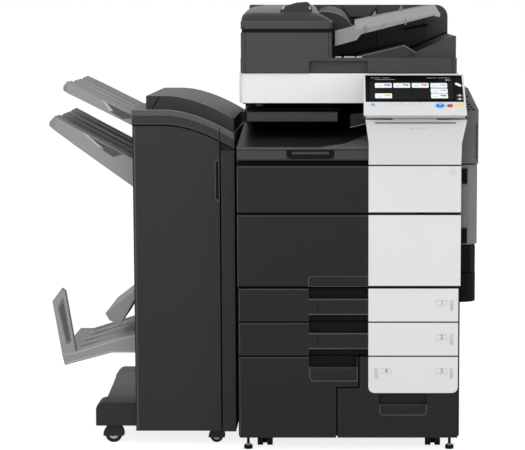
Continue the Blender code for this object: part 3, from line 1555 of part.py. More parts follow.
def bypass_knuckles():
    """Where the two knuckles of the bypass tray start."""
    return (
        BYPASS_FRONT + BYPASS_KNUCKLE_INSET,
        BYPASS_BACK - BYPASS_KNUCKLE_INSET - BYPASS_KNUCKLE_LENGTH,
    )


def make_bypass(door):
    x = bypass_span()
    low = BYPASS_BOTTOM
    tray = rounded_box(x, (BYPASS_FRONT, BYPASS_BACK), (low, BYPASS_TOP), 0.004, "X")
    for start in bypass_knuckles():
        end = start + BYPASS_KNUCKLE_LENGTH
        notch_z = (low - OVER, low + BYPASS_HEEL + BYPASS_PIN_RADIUS)
        cut(tray, box((x[0] - OVER, x[1] + OVER), (start - RUNNING, end + RUNNING), notch_z))
        join(tray, rod("Y", bypass_axis(), BYPASS_PIN_RADIUS, start - BITE, end + BITE, PIN_SIDES))
    axis = bypass_axis()
    finish(tray, "bypass_tray", "grey", door, (axis[0], 0, axis[1]))


def add_bypass_seat(door):
    """The recess in the right door that the folded bypass tray lies in, with its two knuckles."""
    x = bypass_span()
    low = BYPASS_BOTTOM
    border = BYPASS_PAD_BORDER
    pad_y = (BYPASS_FRONT - border, BYPASS_BACK + border)
    pad = box(
        (x[0] - BYPASS_THICKNESS, RIGHT_REACH - BITE), pad_y, (low - border, BYPASS_TOP + border)
    )
    join(door, pad)
    seat_y = (BYPASS_FRONT - GAP, BYPASS_BACK + GAP)
    heel = low - GAP - BYPASS_HEEL_ROOM
    cut(door, box((x[0] - GAP, RIGHT_REACH + OVER), seat_y, (heel, BYPASS_TOP + GAP)))
    cut(door, box((x[0] - BYPASS_RELIEF, RIGHT_REACH + OVER), seat_y, (heel, low + BYPASS_HEEL)))
    axis = bypass_axis()
    half = BYPASS_KNUCKLE_RADIUS - PIN_PLAY
    for start in bypass_knuckles():
        span = (start, start + BYPASS_KNUCKLE_LENGTH)
        knuckle = rod("Y", axis, BYPASS_KNUCKLE_RADIUS, *span, PIN_SIDES)
        join(
            knuckle,
            box((x[0] - 2 * BYPASS_HEEL_ROOM, axis[0]), span, (axis[1] - half, axis[1] + half)),
        )
        join(door, bored(knuckle, "Y", axis, BYPASS_PIN_RADIUS, *span))


def make_right_side(frame):
    make_side_cover(frame)
    door = side_door(RIGHT_REACH, RIGHT_DOOR_BOTTOM, RIGHT_DOOR_TOP)
    add_side_lugs(RIGHT_DOOR_BOTTOM, RIGHT_DOOR_TOP)
    add_bypass_seat(door)
    finish(door, "right_door", "grey", frame, (*side_axis(), RIGHT_DOOR_BOTTOM))
    make_bypass(door)
    lower_door = side_door(LOWER_DOOR_REACH, LOWER_DOOR_BOTTOM, LOWER_DOOR_TOP)
    add_side_lugs(LOWER_DOOR_BOTTOM, LOWER_DOOR_TOP)
    finish(lower_door, "right_lower_door", "grey", frame, (*side_axis(), LOWER_DOOR_BOTTOM))


# Running gear


def make_casters(frame):
    for side, end, x, y in caster_places():
        centre = (y, CASTER_RADIUS)
        outer = CASTER_SPREAD + CASTER_WIDTH
        wheels = rod("X", centre, CASTER_AXLE_RADIUS, x - outer + 0.002, x + outer - 0.002, 16)
        for start in (x - outer, x + CASTER_SPREAD):
            join(wheels, rod("X", centre, CASTER_RADIUS, start, start + CASTER_WIDTH, 28))
        finish(wheels, f"caster_wheels_{end}_{side}", "black", frame, (x, *centre))


def make_feet(frame):
    for side, x in foot_places():
        foot = rod("Z", (x, FOOT_Y), FOOT_RADIUS, FOOT_LIFT, FOOT_LIFT + FOOT_HEIGHT, 20)
        join(
            foot,
            rod(
                "Z",
                (x, FOOT_Y),
                FOOT_STEM_RADIUS,
                FOOT_LIFT + BITE,
                BODY_BOTTOM + FOOT_STEM_IN,
                PIN_SIDES,
            ),
        )
        finish(foot, f"levelling_foot_{side}", "black", frame, (x, FOOT_Y, FOOT_LIFT))


# Finisher


def shoulder_line(lift, left, right, steps=7):
    """The finisher's falling shoulder, from its flat left part down to its right end."""
    flat = FINISHER_LEFT + FINISHER_FLAT
    points = [(left, FINISHER_SHOULDER + lift), (min(flat, right), FINISHER_SHOULDER + lift)]
    run = FINISHER_RIGHT - flat
    for i in range(1, steps + 1):
        x = flat + run * i / steps
        if x > right:
            break
        points.append((x, FINISHER_SHOULDER + lift - FINISHER_FALL * (i / steps) ** 1.7))
    if points[-1][0] < right - 1e-6:
        share = (right - flat) / run
        points.append((right, FINISHER_SHOULDER + lift - FINISHER_FALL * share**1.7))
    return points


def make_finisher_body(frame):
    front = FINISHER_FRONT + FINISHER_DOOR_THICKNESS + FRAME_SETBACK
    outline = [(FINISHER_RIGHT, FINISHER_BOTTOM), (FINISHER_LEFT, FINISHER_BOTTOM)]
    outline += shoulder_line(-SEAM / 2, FINISHER_LEFT, FINISHER_RIGHT)
    body = prism(outline, "Y", front, FINISHER_BACK)
    wall = FINISHER_WALL
    low_shoulder = FINISHER_SHOULDER - FINISHER_FALL
    inside = box(
        (FINISHER_LEFT + wall, FINISHER_RIGHT - wall),
        (0, FINISHER_BACK - wall),
        (FINISHER_BOTTOM + wall, low_shoulder - FINISHER_ROOF),
    )
    cut(body, inside)
    strip = box(
        (FINISHER_RIGHT - FINISHER_STRIP + SEAM / 2, FINISHER_RIGHT),
        (FINISHER_FRONT, front + BITE),
        (FINISHER_BOTTOM, low_shoulder - SEAM),
    )
    join(body, strip)
    lower_exit = LOWER_TRAY_LOW + LOWER_TRAY_ROOT_HEIGHT - LOWER_SLOT_HEIGHT - BITE
    cut(body, exit_slot(lower_exit, LOWER_SLOT_HEIGHT))
    cut(body, exit_slot(FOLD_TRAY_BOTTOM + FOLD_SLOT_RISE, FOLD_SLOT_HEIGHT))
    add_finisher_legs(body)
    dock = box(
        (FINISHER_RIGHT - BITE, -HALF - GAP),
        (DOCK_FRONT, DOCK_FRONT + DOCK_DEPTH),
        (DOCK_LOW, DOCK_LOW + DOCK_HEIGHT),
    )
    join(body, dock)
    add_finisher_lugs(body, front)
    return finish(body, "finisher_body", "charcoal", frame)


def add_finisher_legs(body):
    """The two legs under the trays, the plate between them, and the seats of the four casters."""
    tip = FINISHER_LEFT - LEG_REACH
    outline = rounded(
        rectangle(tip, FINISHER_LEFT + BITE, LEG_BOTTOM, LEG_BOTTOM + LEG_HEIGHT),
        [0, 0, 0, LEG_RADIUS],
    )
    for y in (LEG_FRONT, LEG_BACK):
        join(body, prism(outline, "Y", y, y + LEG_DEPTH))
    plate = box(
        (tip + LEG_PLATE_INSET, FINISHER_LEFT + BITE),
        (LEG_FRONT + LEG_DEPTH / 2, LEG_BACK + LEG_DEPTH / 2),
        (LEG_BOTTOM + LEG_PLATE_RISE, LEG_BOTTOM + LEG_PLATE_RISE + LEG_PLATE_HEIGHT),
    )
    join(body, plate)
    for _, _, x, y, hooded in finisher_casters():
        if hooded:
            seat = caster_ceiling(x) + HOOD_SEAT_DEPTH
            cut(body, rod("Z", (x, y), HOOD_STEM_RADIUS + PIN_PLAY, 0, seat, 16))
        else:
            add_fixed_fork(body, x, y)


def add_finisher_lugs(body, front):
    """The lugs that carry the finisher's door, its top cover and the flap of its fold tray."""
    axis = finisher_door_axis()
    half = LUG_HALF
    for z in finisher_door_lugs():
        foot = ((axis[0] - half, axis[0] + half), (axis[1], front + SHELL), (z, z + LUG_WIDTH))
        join(body, hinge_lug("Z", axis, LUG_RADIUS, z, LUG_WIDTH, foot))
    axis = finisher_cover_axis()
    for start in cover_lug_places():
        foot = (
            (start, start + LUG_WIDTH),
            (FINISHER_BACK - BITE, axis[0]),
            (axis[1] - COVER_LUG_REACH, axis[1]),
        )
        join(body, hinge_lug("X", axis, LUG_RADIUS, start, LUG_WIDTH, foot))
    axis = flap_pivot()
    for start in flap_lugs():
        foot = (
            (axis[0], FINISHER_LEFT + BITE),
            (start, start + FLAP_LUG_WIDTH),
            (axis[1] - half, axis[1] + half),
        )
        join(body, hinge_lug("Y", axis, LUG_RADIUS, start, FLAP_LUG_WIDTH, foot))


def exit_slot(low, height):
    """A slot through the finisher's left wall that paper comes out of."""
    y = (TRAY_FRONT + EXIT_SLOT_INSET, TRAY_FRONT + TRAY_DEPTH - EXIT_SLOT_INSET)
    return box((FINISHER_LEFT - OVER, FINISHER_LEFT + FINISHER_WALL + OVER), y, (low, low + height))


def cover_lug_places():
    return (FINISHER_LEFT + COVER_LUG_LEFT, FINISHER_LEFT + FINISHER_FLAT - COVER_LUG_RIGHT)


def finisher_door_axis():
    return (FINISHER_LEFT + FINISHER_DOOR_PIVOT, FINISHER_FRONT + FINISHER_DOOR_PIVOT)


def finisher_door_lugs():
    low = FINISHER_BOTTOM + DOOR_LUG_RISE
    return (low, FINISHER_SHOULDER - FINISHER_FALL - DOOR_LUG_DROP)


def make_finisher_door(body):
    left = FINISHER_LEFT + RUNNING
    right = FINISHER_RIGHT - FINISHER_STRIP - SEAM / 2
    y = (FINISHER_FRONT, FINISHER_FRONT + FINISHER_DOOR_THICKNESS)
    bottom = FINISHER_BOTTOM + FINISHER_DOOR_LIFT
    outline = [(right, bottom), (left, bottom)]
    outline += shoulder_line(-FINISHER_COVER_SEAM, left, right)
    door = prism(outline, "Y", *y)
    for edge, way in ((y[0], 1), (y[1], -1)):
        reach = OVER + FINISHER_DOOR_CHAMFER
        plan = [
            (FINISHER_LEFT - OVER, edge - way * OVER),
            (FINISHER_LEFT + reach, edge - way * OVER),
            (FINISHER_LEFT - OVER, edge + way * reach),
        ]
        cut(door, prism(plan, "Z", 0, 1))
    border = FINISHER_DOOR_BORDER
    hollow = box(
        (FINISHER_LEFT + border, right - FINISHER_DOOR_RIGHT_BORDER),
        (y[0] + SHELL, y[1] + OVER),
        (FINISHER_BOTTOM + border, FINISHER_SHOULDER - FINISHER_FALL - border),
    )
    cut(door, hollow)
    axis = finisher_door_axis()
    for z in finisher_door_lugs():
        notch = box(
            (FINISHER_LEFT - OVER, axis[0] + DOOR_LUG_ROOM),
            (y[0] + DOOR_LUG_SKIN, y[1] + OVER),
            (z - RUNNING, z + LUG_WIDTH + RUNNING),
        )
        cut(door, notch)
        join(door, rod("Z", axis, HINGE_PIN_RADIUS, z - BITE, z + LUG_WIDTH + BITE, PIN_SIDES))
    finish(door, "finisher_door", "charcoal", body, (*axis, FINISHER_BOTTOM))


def finisher_cover_axis():
    """The cover turns on a barrel hinge that lies behind the finisher's back."""
    return (FINISHER_BACK + LUG_RADIUS + GAP, FINISHER_SHOULDER)


def shoulder_block(low, high, left, right, y):
    """A block whose floor and roof both follow the falling shoulder, at two heights above it."""
    floor = shoulder_line(low, left, right)
    roof = shoulder_line(high, left, right)
    return prism(floor + roof[::-1], "Y", *y)


def make_finisher_cover(body):
    y = (FINISHER_FRONT, FINISHER_BACK)
    band, top = FINISHER_BAND, FINISHER_BAND + FINISHER_BLOCK_RISE
    cover = shoulder_block(FINISHER_COVER_SEAM, band, FINISHER_LEFT, FINISHER_RIGHT, y)
    left = FINISHER_LEFT + FINISHER_BLOCK_INSET
    right = FINISHER_RIGHT - FINISHER_BLOCK_RIGHT_INSET
    block_y = (FINISHER_FRONT + FINISHER_BLOCK_SETBACK, FINISHER_BACK - FINISHER_BLOCK_REAR)
    join(cover, shoulder_block(band - SHELL, top, left, right, block_y))
    inner = (FINISHER_LEFT + SHELL, FINISHER_RIGHT - SHELL)
    cut(cover, shoulder_block(-OVER, band - SHELL, *inner, (y[0] + SHELL, y[1] - SHELL)))
    hollow_y = (block_y[0] + SHELL, block_y[1] - SHELL)
    hollow_low = band - SHELL - OVER
    cut(cover, shoulder_block(hollow_low, top - SHELL, left + SHELL, right - SHELL, hollow_y))
    slot_low = UPPER_TRAY_LOW + UPPER_TRAY_HEIGHT + UPPER_SLOT_RISE
    cut(cover, exit_slot(slot_low, UPPER_SLOT_HEIGHT))
    axis = finisher_cover_axis()
    width = COVER_KNUCKLE_WIDTH
    for start in cover_lug_places():
        for edge in (start - width - BITE, start + LUG_WIDTH + BITE):
            span = (edge, edge + width)
            web = box(span, (FINISHER_BACK - BITE, axis[0]), (axis[1], axis[1] + COVER_LUG_REACH))
            join(cover, join(rod("X", axis, LUG_RADIUS, *span), web))
        pin = (start - width, start + LUG_WIDTH + width)
        join(cover, rod("X", axis, HINGE_PIN_RADIUS, *pin, PIN_SIDES))
    finish(cover, "finisher_top_cover", "charcoal", body, (0, *axis))


def make_stack_tray(body, name, reach, low, climb, root_height, tip_height):
    root = FINISHER_LEFT - GAP
    tip = FINISHER_LEFT - reach
    nose = STACK_TRAY_NOSE
    outline = [
        (root, low),
        (root, low + root_height),
        (tip + nose, low + climb + tip_height),
        (tip, low + climb + tip_height - nose),
        (tip, low + climb + nose),
        (tip + nose, low + climb),
    ]
    y = (TRAY_FRONT, TRAY_FRONT + TRAY_DEPTH)
    tray = prism(outline, "Y", *y)
    floor, roof = [], []
    for share in STACK_POCKET_SHARES:
        x = root + (tip - root) * share
        height = root_height + (tip_height - root_height) * share
        floor.append((x, low + climb * share - 2 * OVER))
        roof.append((x, low + climb * share + height - STACK_TRAY_SKIN))
    cut(tray, prism(floor + roof[::-1], "Y", y[0] + SHELL, y[1] - SHELL))
    return finish(tray, name, "grey", body)


def flap_pivot():
    return (FINISHER_LEFT - FLAP_PIVOT_OUT, FLAP_TOP - FLAP_PIVOT_DOWN)


def flap_lugs():
    start = TRAY_FRONT + FLAP_INSET
    return (start + FLAP_LUG_INSET, start + FLAP_DEPTH - FLAP_LUG_INSET - FLAP_LUG_WIDTH)


def make_fold_tray(body):
    root = FINISHER_LEFT - GAP
    tip = FINISHER_LEFT - FOLD_TRAY_REACH
    low, high = FOLD_TRAY_BOTTOM, FOLD_TRAY_TOP
    outline = [
        (root, low + FOLD_ROOT_LOW),
        (root, low + FOLD_ROOT_HIGH),
        (root - FOLD_SHELF, low + FOLD_SHELF_RISE),
        (tip + FOLD_TROUGH, low + FOLD_TROUGH_RISE),
        (tip + FOLD_STOPPER_INNER, high - FOLD_STOPPER_STEP),
        (tip + FOLD_STOPPER_PEAK, high),
        (tip, high - FOLD_STOPPER_SLOPE),
        (tip + FOLD_STOPPER_PEAK, low + FOLD_HEEL_RISE),
        (tip + FOLD_HEEL, low),
        (root - FOLD_SHELF - FOLD_UNDER_BEND, low + FOLD_ROOT_LOW),
    ]
    y = (TRAY_FRONT, TRAY_FRONT + FOLD_TRAY_DEPTH)
    tray = prism(outline, "Y", *y)
    pocket = [
        (root - FOLD_WALL, low - OVER),
        (root - FOLD_WALL, low + FOLD_ROOT_HIGH - FOLD_SKIN),
        (root - FOLD_SHELF, low + FOLD_SHELF_RISE - FOLD_SKIN),
        (tip + FOLD_TROUGH + FOLD_SKIN, low + FOLD_TROUGH_RISE - FOLD_WALL),
        (tip + FOLD_POCKET_TIP, low - OVER),
    ]
    cut(tray, prism(pocket, "Y", y[0] + SHELL, y[1] - SHELL))
    behind_stopper = box(
        (tip - OVER, tip + FOLD_TROUGH),
        (y[0] + FOLD_STOPPER_DEPTH, y[1] + OVER),
        (low + FOLD_TROUGH_RISE, high + OVER),
    )
    cut(tray, behind_stopper)
    finish(tray, "fold_tray", "grey", body)
    make_flap(body)


def make_flap(body):
    pivot = flap_pivot()
    tip = FINISHER_LEFT - FLAP_REACH
    heel = FLAP_HEEL
    outline = [
        (pivot[0] + heel, pivot[1] + heel),
        (pivot[0] - 2 * heel, pivot[1] + 2 * heel),
        (tip, FLAP_TOP - FLAP_TIP_DROP),
        (tip + FLAP_NOSE, FLAP_TOP - FLAP_NOSE_DROP),
        (tip + FLAP_UNDER, FLAP_TOP - FLAP_DROP),
        (pivot[0] + heel, pivot[1] - 2 * heel),
    ]
    start = TRAY_FRONT + FLAP_INSET
    flap = prism(outline, "Y", start, start + FLAP_DEPTH)
    room = LUG_RADIUS + FLAP_LUG_ROOM
    for lug in flap_lugs():
        end = lug + FLAP_LUG_WIDTH
        notch = box(
            (pivot[0] - room, pivot[0] + 2 * OVER),
            (lug - RUNNING, end + RUNNING),
            (pivot[1] - room, pivot[1] + 2 * OVER),
        )
        cut(flap, notch)
        join(flap, rod("Y", pivot, HINGE_PIN_RADIUS, lug - 2 * BITE, end + 2 * BITE, PIN_SIDES))
    finish(flap, "fold_tray_flap", "grey", body, (pivot[0], 0, pivot[1]))


def caster_ceiling(x):
    return FINISHER_BOTTOM if x > FINISHER_LEFT else LEG_BOTTOM


def finisher_casters():
    """(side, end, x, y, hooded) for each caster; only the front ones swivel."""
    outer = FINISHER_LEFT - FINISHER_CASTER_OUTER
    inner = FINISHER_RIGHT - FINISHER_CASTER_INNER
    for side, x in (("outer", outer), ("inner", inner)):
        yield side, "front", x, FINISHER_CASTER_FRONT, True
        yield side, "rear", x, FINISHER_CASTER_BACK, False


def wheel_radius(x):
    return (caster_ceiling(x) - WHEEL_HEADROOM) / 2


def add_fixed_fork(body, x, y):
    radius = wheel_radius(x)
    half = FINISHER_CASTER_WIDTH / 2 + RUNNING
    for start in (y - half - HOOD_WALL, y + half):
        end = start + HOOD_WALL
        cheek = box(
            (x - FORK_HALF, x + FORK_HALF),
            (start, end),
            (radius * FORK_LOW_SHARE, caster_ceiling(x) + FORK_BITE),
        )
        hole = SIDE_PIN_RADIUS + PIN_PLAY
        join(body, bored(cheek, "Y", (x, radius), hole, start, end))


def make_finisher_casters(body):
    for side, end, x, y, hooded in finisher_casters():
        radius = wheel_radius(x)
        half = FINISHER_CASTER_WIDTH / 2
        reach = half + HOOD_WALL
        carrier = make_hood(body, side, x, y, radius) if hooded else body
        wheel = rod("Y", (x, radius), radius, y - half, y + half, 28)
        join(wheel, rod("Y", (x, radius), SIDE_PIN_RADIUS, y - reach, y + reach, PIN_SIDES))
        finish(wheel, f"finisher_wheel_{end}_{side}", "black", carrier, (x, y, radius))


def make_hood(body, side, x, y, radius):
    """A swivelling hood over a wheel, with a stem that turns in the finisher's base."""
    half = FINISHER_CASTER_WIDTH / 2 + RUNNING
    reach = half + HOOD_WALL
    ceiling = caster_ceiling(x)
    hood = rod("Y", (x, radius), radius + HOOD_SHELL, y - reach, y + reach, 28)
    cut(hood, rod("Y", (x, radius), radius + HOOD_ROOM, y - half, y + half, 28))
    wide = 2 * radius + HOOD_SHELL
    around = ((x - wide, x + wide), (y - wide, y + wide))
    cut(hood, box(*around, (-OVER, radius * HOOD_LOW_SHARE)))
    cut(hood, box(*around, (ceiling - GAP, ceiling + wide)))
    hood = bored(hood, "Y", (x, radius), SIDE_PIN_RADIUS + PIN_PLAY, y - reach, y + reach)
    stem_top = ceiling + HOOD_SEAT_DEPTH - 2 * BITE
    join(hood, rod("Z", (x, y), HOOD_STEM_RADIUS, ceiling - HOOD_STEM_BITE, stem_top, 16))
    return finish(hood, f"finisher_caster_hood_{side}", "black", body, (x, y, ceiling))


def stand_on_origin(frame):
    """Moves the whole object so that the middle of its footprint is at the origin."""
    bpy.context.view_layer.update()
    low = Vector((math.inf,) * 3)
    high = -low
    for piece in bpy.context.scene.objects:
        for vertex in piece.data.vertices:
            place = piece.matrix_world @ vertex.co
            low = Vector(map(min, low, place))
            high = Vector(map(max, high, place))
    frame.location -= Vector(((low.x + high.x) / 2, (low.y + high.y) / 2, low.z))


def main():
    for old in list(bpy.data.objects):
        bpy.data.objects.remove(old)
    frame = make_frame()
    make_covers(frame)
    make_drawer(frame, 1, DRAWER_1_Z)
    make_drawer(frame, 2, DRAWER_2_Z)
    make_lower_drawers(frame)
    make_front_door(frame, "front_door", FRONT_DOOR_Z, FRONT_DOOR_HEIGHT)
    make_front_door(frame, "toner_door", TONER_DOOR_Z, TONER_DOOR_HEIGHT)
    make_inner_units(frame)
    make_exit(frame)
    make_panel_support(frame)
    make_panel(frame)
    make_scanner(frame)
    base = make_adf_base(frame)
    make_feed_unit(base)
    make_document_tray(base)
    make_right_side(frame)
    make_casters(frame)
    make_feet(frame)
    body = make_finisher_body(frame)
    make_finisher_door(body)
    make_finisher_cover(body)
    make_stack_tray(
        body,
        "finisher_tray_upper",
        UPPER_TRAY_REACH,
        UPPER_TRAY_LOW,
        UPPER_TRAY_CLIMB,
        UPPER_TRAY_HEIGHT,
        UPPER_TRAY_HEIGHT,
    )
    make_stack_tray(
        body,
        "finisher_tray_lower",
        LOWER_TRAY_REACH,
        LOWER_TRAY_LOW,
        LOWER_TRAY_CLIMB,
        LOWER_TRAY_ROOT_HEIGHT,
        LOWER_TRAY_TIP_HEIGHT,
    )
    make_fold_tray(body)
    make_finisher_casters(body)
    stand_on_origin(frame)


main()
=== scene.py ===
"""The looks of a floor-standing photocopier with a document feeder and a stacking finisher."""

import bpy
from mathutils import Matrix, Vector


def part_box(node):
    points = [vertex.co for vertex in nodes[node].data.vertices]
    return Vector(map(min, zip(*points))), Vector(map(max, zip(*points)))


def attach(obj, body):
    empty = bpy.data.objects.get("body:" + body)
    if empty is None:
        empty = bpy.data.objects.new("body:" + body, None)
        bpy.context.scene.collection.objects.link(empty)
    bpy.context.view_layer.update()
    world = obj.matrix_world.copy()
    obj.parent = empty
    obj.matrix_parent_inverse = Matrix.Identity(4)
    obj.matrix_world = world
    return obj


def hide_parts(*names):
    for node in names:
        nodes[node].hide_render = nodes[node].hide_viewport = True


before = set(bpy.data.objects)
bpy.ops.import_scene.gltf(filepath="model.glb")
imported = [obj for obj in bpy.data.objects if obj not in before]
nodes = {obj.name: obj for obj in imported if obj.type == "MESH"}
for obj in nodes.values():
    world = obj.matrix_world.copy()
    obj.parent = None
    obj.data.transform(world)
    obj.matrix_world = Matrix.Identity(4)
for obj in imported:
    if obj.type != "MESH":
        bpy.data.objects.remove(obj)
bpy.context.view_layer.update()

import math

import bmesh
import bpy
from mathutils import Matrix, Vector


# Shader writing


class Value:
    """A socket in a node tree. Arithmetic on it adds Math nodes."""

    def __init__(self, shading, socket):
        self.shading = shading
        self.socket = socket

    def math(self, operation, *others, clamp=False):
        settings = {"operation": operation, "use_clamp": clamp}
        return self.shading.node("ShaderNodeMath", settings, dict(enumerate((self, *others))))

    def __add__(self, other):
        return self.math("ADD", other)

    __radd__ = __add__

    def __mul__(self, other):
        return self.math("MULTIPLY", other)

    __rmul__ = __mul__

    def clamped(self):
        return self.math("ADD", 0, clamp=True)

    def beside(self, output):
        """Another output of the same node."""
        return Value(self.shading, self.socket.node.outputs[output])


class Shading:
    """A node tree, and one method that adds any node to it."""

    def __init__(self, tree):
        self.tree = tree

    def node(self, kind, settings=None, inputs=None, output=0):
        made = self.tree.nodes.new(kind)
        for key, value in (settings or {}).items():
            setattr(made, key, value)
        for key, value in (inputs or {}).items():
            self.set_input(made.inputs[key], value)
        return Value(self, made.outputs[output])

    def set_input(self, socket, value):
        if isinstance(value, Value):
            self.tree.links.new(value.socket, socket)
        else:
            socket.default_value = value


class Finish(Shading):
    """A procedural material, fed through its Principled shader."""

    def __init__(self, name, roughness, **sockets):
        self.material = bpy.data.materials.new(name)
        self.material.use_nodes = True
        super().__init__(self.material.node_tree)
        self.shader = self.tree.nodes["Principled BSDF"]
        self.feed(Roughness=roughness, **sockets)

    def feed(self, **sockets):
        for name, value in sockets.items():
            self.set_input(self.shader.inputs[name.replace("_", " ")], value)

    def noise(self, scale, detail, roughness):
        place = self.node("ShaderNodeTexCoord", output="Object")
        inputs = {"Vector": place, "Scale": scale, "Detail": detail, "Roughness": roughness}
        return self.node("ShaderNodeTexNoise", {}, inputs)

    def blend(self, share, first, second):
        """A colour between two colours."""
        return self.node("ShaderNodeMix", {"data_type": "RGBA"}, {0: share, 6: first, 7: second}, output=2)

    def bump(self, height, distance):
        self.feed(
            Normal=self.node("ShaderNodeBump", {}, {"Height": height, "Distance": distance, "Strength": 1.0})
        )


def grey(level, warm=0.0):
    """A nearly neutral colour, as the display value of its grey level, 0 to 255."""
    share = level / 255
    linear = share / 12.92 if share <= 0.04045 else ((share + 0.055) / 1.055) ** 2.4
    return (linear * (1 + warm), linear, linear * (1 - warm), 1)


def tint(red, green, blue):
    return tuple(grey(level)[0] for level in (red, green, blue)) + (1,)


def moulded(name, colour, roughness, grain=0.00004, patchiness=0.06, shine=0.2):
    """Moulded plastic with a fine spark-eroded grain and faint handling marks."""
    finish = Finish(name, roughness, Specular_IOR_Level=shine)
    fine = finish.noise(2600.0, 3.0, 0.6)
    broad = finish.noise(3.5, 3.0, 0.55)
    dark = tuple(channel * (1 - patchiness) for channel in colour[:3]) + (1,)
    pale = tuple(min(1, channel * (1 + patchiness)) for channel in colour[:3]) + (1,)
    share = (broad * 0.8 + fine * 0.2).clamped()
    finish.feed(Base_Color=finish.blend(share, dark, pale))
    finish.feed(Roughness=(roughness - 0.05 + broad * 0.08 + fine * 0.04).clamped())
    finish.bump(fine, grain)
    return finish.material


FINISHES = {
    "charcoal": moulded("charcoal_moulding", grey(55), 0.5),
    # Darker charcoal: the own colour of the release hump and the pick-up hood, and painted shade on the
    # cover's front bevel and the exit ramp's facet.
    "feeder_bevel": moulded("feeder_dark_and_painted_shade", grey(38), 0.45),
    # Paler grey painted as a highlight line along the feeder cover's step.
    "feeder_highlight_line": moulded("feeder_band_painted_highlight", grey(72), 0.45),
    # Paler grey painted as light on the finisher band's chamfer.
    "band_painted_light": moulded("finisher_band_painted_light", grey(62), 0.42, shine=0.3),
    # Grey painted as the shade in tray recesses and hollows.
    "tray_recess_shade": moulded("tray_recess_painted_shade", grey(72), 0.56),
    # Paler grey painted as the light falling on the front corner of the exit tray's shaded deck.
    "wedge": moulded("exit_corner_painted_light", grey(92), 0.46),
    # Paler grey painted as light on the feeder cover's top.
    "feeder_top": moulded("feeder_top_painted_light", grey(62), 0.42, shine=0.3),
    "finisher": moulded("finisher_moulding", grey(32), 0.48),
    "finisher_cover": moulded("finisher_cover_moulding", grey(36), 0.46),
    "dark": moulded("dark_front_moulding", grey(27, -0.02), 0.42, shine=0.15),
    # Mid grey painted as the highlight that the edges, rims and lips of the dark parts catch.
    "edge_highlight": moulded("front_edge_painted_highlight", grey(66), 0.4),
    "black": moulded("black_moulding", grey(11), 0.6, shine=0.08),
    "light": moulded("light_front_moulding", tint(200, 201, 202), 0.4, patchiness=0.015, shine=0.3),
    "lid_white": moulded("scanner_moulding", tint(206, 207, 209), 0.4, patchiness=0.015, shine=0.3),
    # Grey painted as the shade under the panel's front edge.
    "underside": moulded("panel_underside_painted_shade", grey(150), 0.45),
    "grey": moulded("tray_moulding", grey(124), 0.52, shine=0.4),
    "tray_pale": moulded("tray_rib_moulding", grey(136), 0.5, shine=0.4),
    "tray_rib": moulded("tray_skirt_moulding", grey(112), 0.52, shine=0.4),
    # Paler grey painted as light on tray shelves and rims.
    "tray_lit_edge": moulded("tray_rim_painted_light", grey(156), 0.46, shine=0.4),
    "tray_shade": moulded("tray_recess_moulding", grey(92), 0.56, shine=0.3),
    "side": moulded("side_moulding", grey(108), 0.44, shine=0.4),
    "side_upper": moulded("upper_side_moulding", grey(92), 0.44, shine=0.4),
    # Warm grey painted as the highlight along rims, ridges and rails.
    "rim": moulded("rim_painted_highlight", tint(112, 110, 107), 0.42),
    # Pale grey painted as the glint on the lever's glossy ends and on the finisher wheels' hubs.
    "bright": moulded("painted_glint_highlight", grey(165), 0.25, 0.00001, shine=0.5),
    "slot_grey": moulded("grey_slot_moulding", grey(120), 0.45),
    "exit_strip": moulded("exit_strip_moulding", grey(52), 0.45),
    "exit_pale": moulded("exit_tray_lip_moulding", grey(66), 0.48),
    "relay": moulded("relay_moulding", grey(50), 0.46),
    "sticker": moulded("blank_sticker", tint(190, 192, 195), 0.35, 0.00001),
    "rubber": moulded("caster_rubber", grey(20), 0.6, 0.00008),
    "gloss": moulded("glossy_black_screen", grey(5), 0.2, 0.0, shine=0.03),
    "steel": moulded("zinc_plated_steel", grey(150), 0.35, 0.00001),
    "display": moulded("display_glass", grey(7), 0.2, 0.0, shine=0.03),
    "display_field": moulded("display_field", grey(24), 0.3, 0.0, 0.5, shine=0.03),
    "display_white": moulded("display_tile", tint(226, 229, 232), 0.3, 0.0, 0.01),
    "mark_blue": moulded("blue_display_mark", tint(70, 120, 200), 0.3, 0.0),
    "mark_teal": moulded("teal_display_mark", tint(70, 160, 170), 0.3, 0.0),
    "mark_orange": moulded("orange_display_mark", tint(225, 130, 60), 0.3, 0.0),
    "mark_yellow": moulded("yellow_display_mark", tint(225, 190, 70), 0.3, 0.0),
    "mark_pink": moulded("pink_display_mark", tint(220, 120, 160), 0.3, 0.0),
    "mark_slate": moulded("slate_mark", tint(120, 128, 140), 0.4, 0.0),
    "mark_pale": moulded("pale_display_mark", tint(180, 190, 205), 0.3, 0.0),
    "mark_dim": moulded("dim_display_mark", grey(130), 0.3, 0.0),
    "mark_faint": moulded("faint_mark", grey(178), 0.4, 0.0),
    "start_blue": moulded("blue_key", tint(52, 110, 196), 0.28, 0.0),
    "start_glow": moulded("pale_blue_key_ring", tint(150, 196, 236), 0.3, 0.0),
    "stop_red": moulded("crimson_key", tint(170, 40, 62), 0.3, 0.0),
    "reset_yellow": moulded("yellow_key", tint(236, 196, 70), 0.35, 0.0),
}


# Places, measured from the copier's middle, its closed fronts and the floor

ORIGIN = Vector((sum(corner.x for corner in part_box("rear_cover")) / 2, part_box("front_door")[0].y, 0))


def span(node, axis):
    """Lowest and highest place of a node along X, Y or Z, from the copier's own zero."""
    low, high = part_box(node)
    i = "XYZ".index(axis)
    return (low[i] - ORIGIN[i], high[i] - ORIGIN[i])


HALF_WIDTH = (span("rear_cover", "X")[1] - span("rear_cover", "X")[0]) / 2
FEED_WIDTH = 0.254
SIDE_SHOULDER = 0.944
PULL_X = (-0.1125, 0.0532)
FEEDER_FACE = (0.1044, 0.107)


# Mesh work


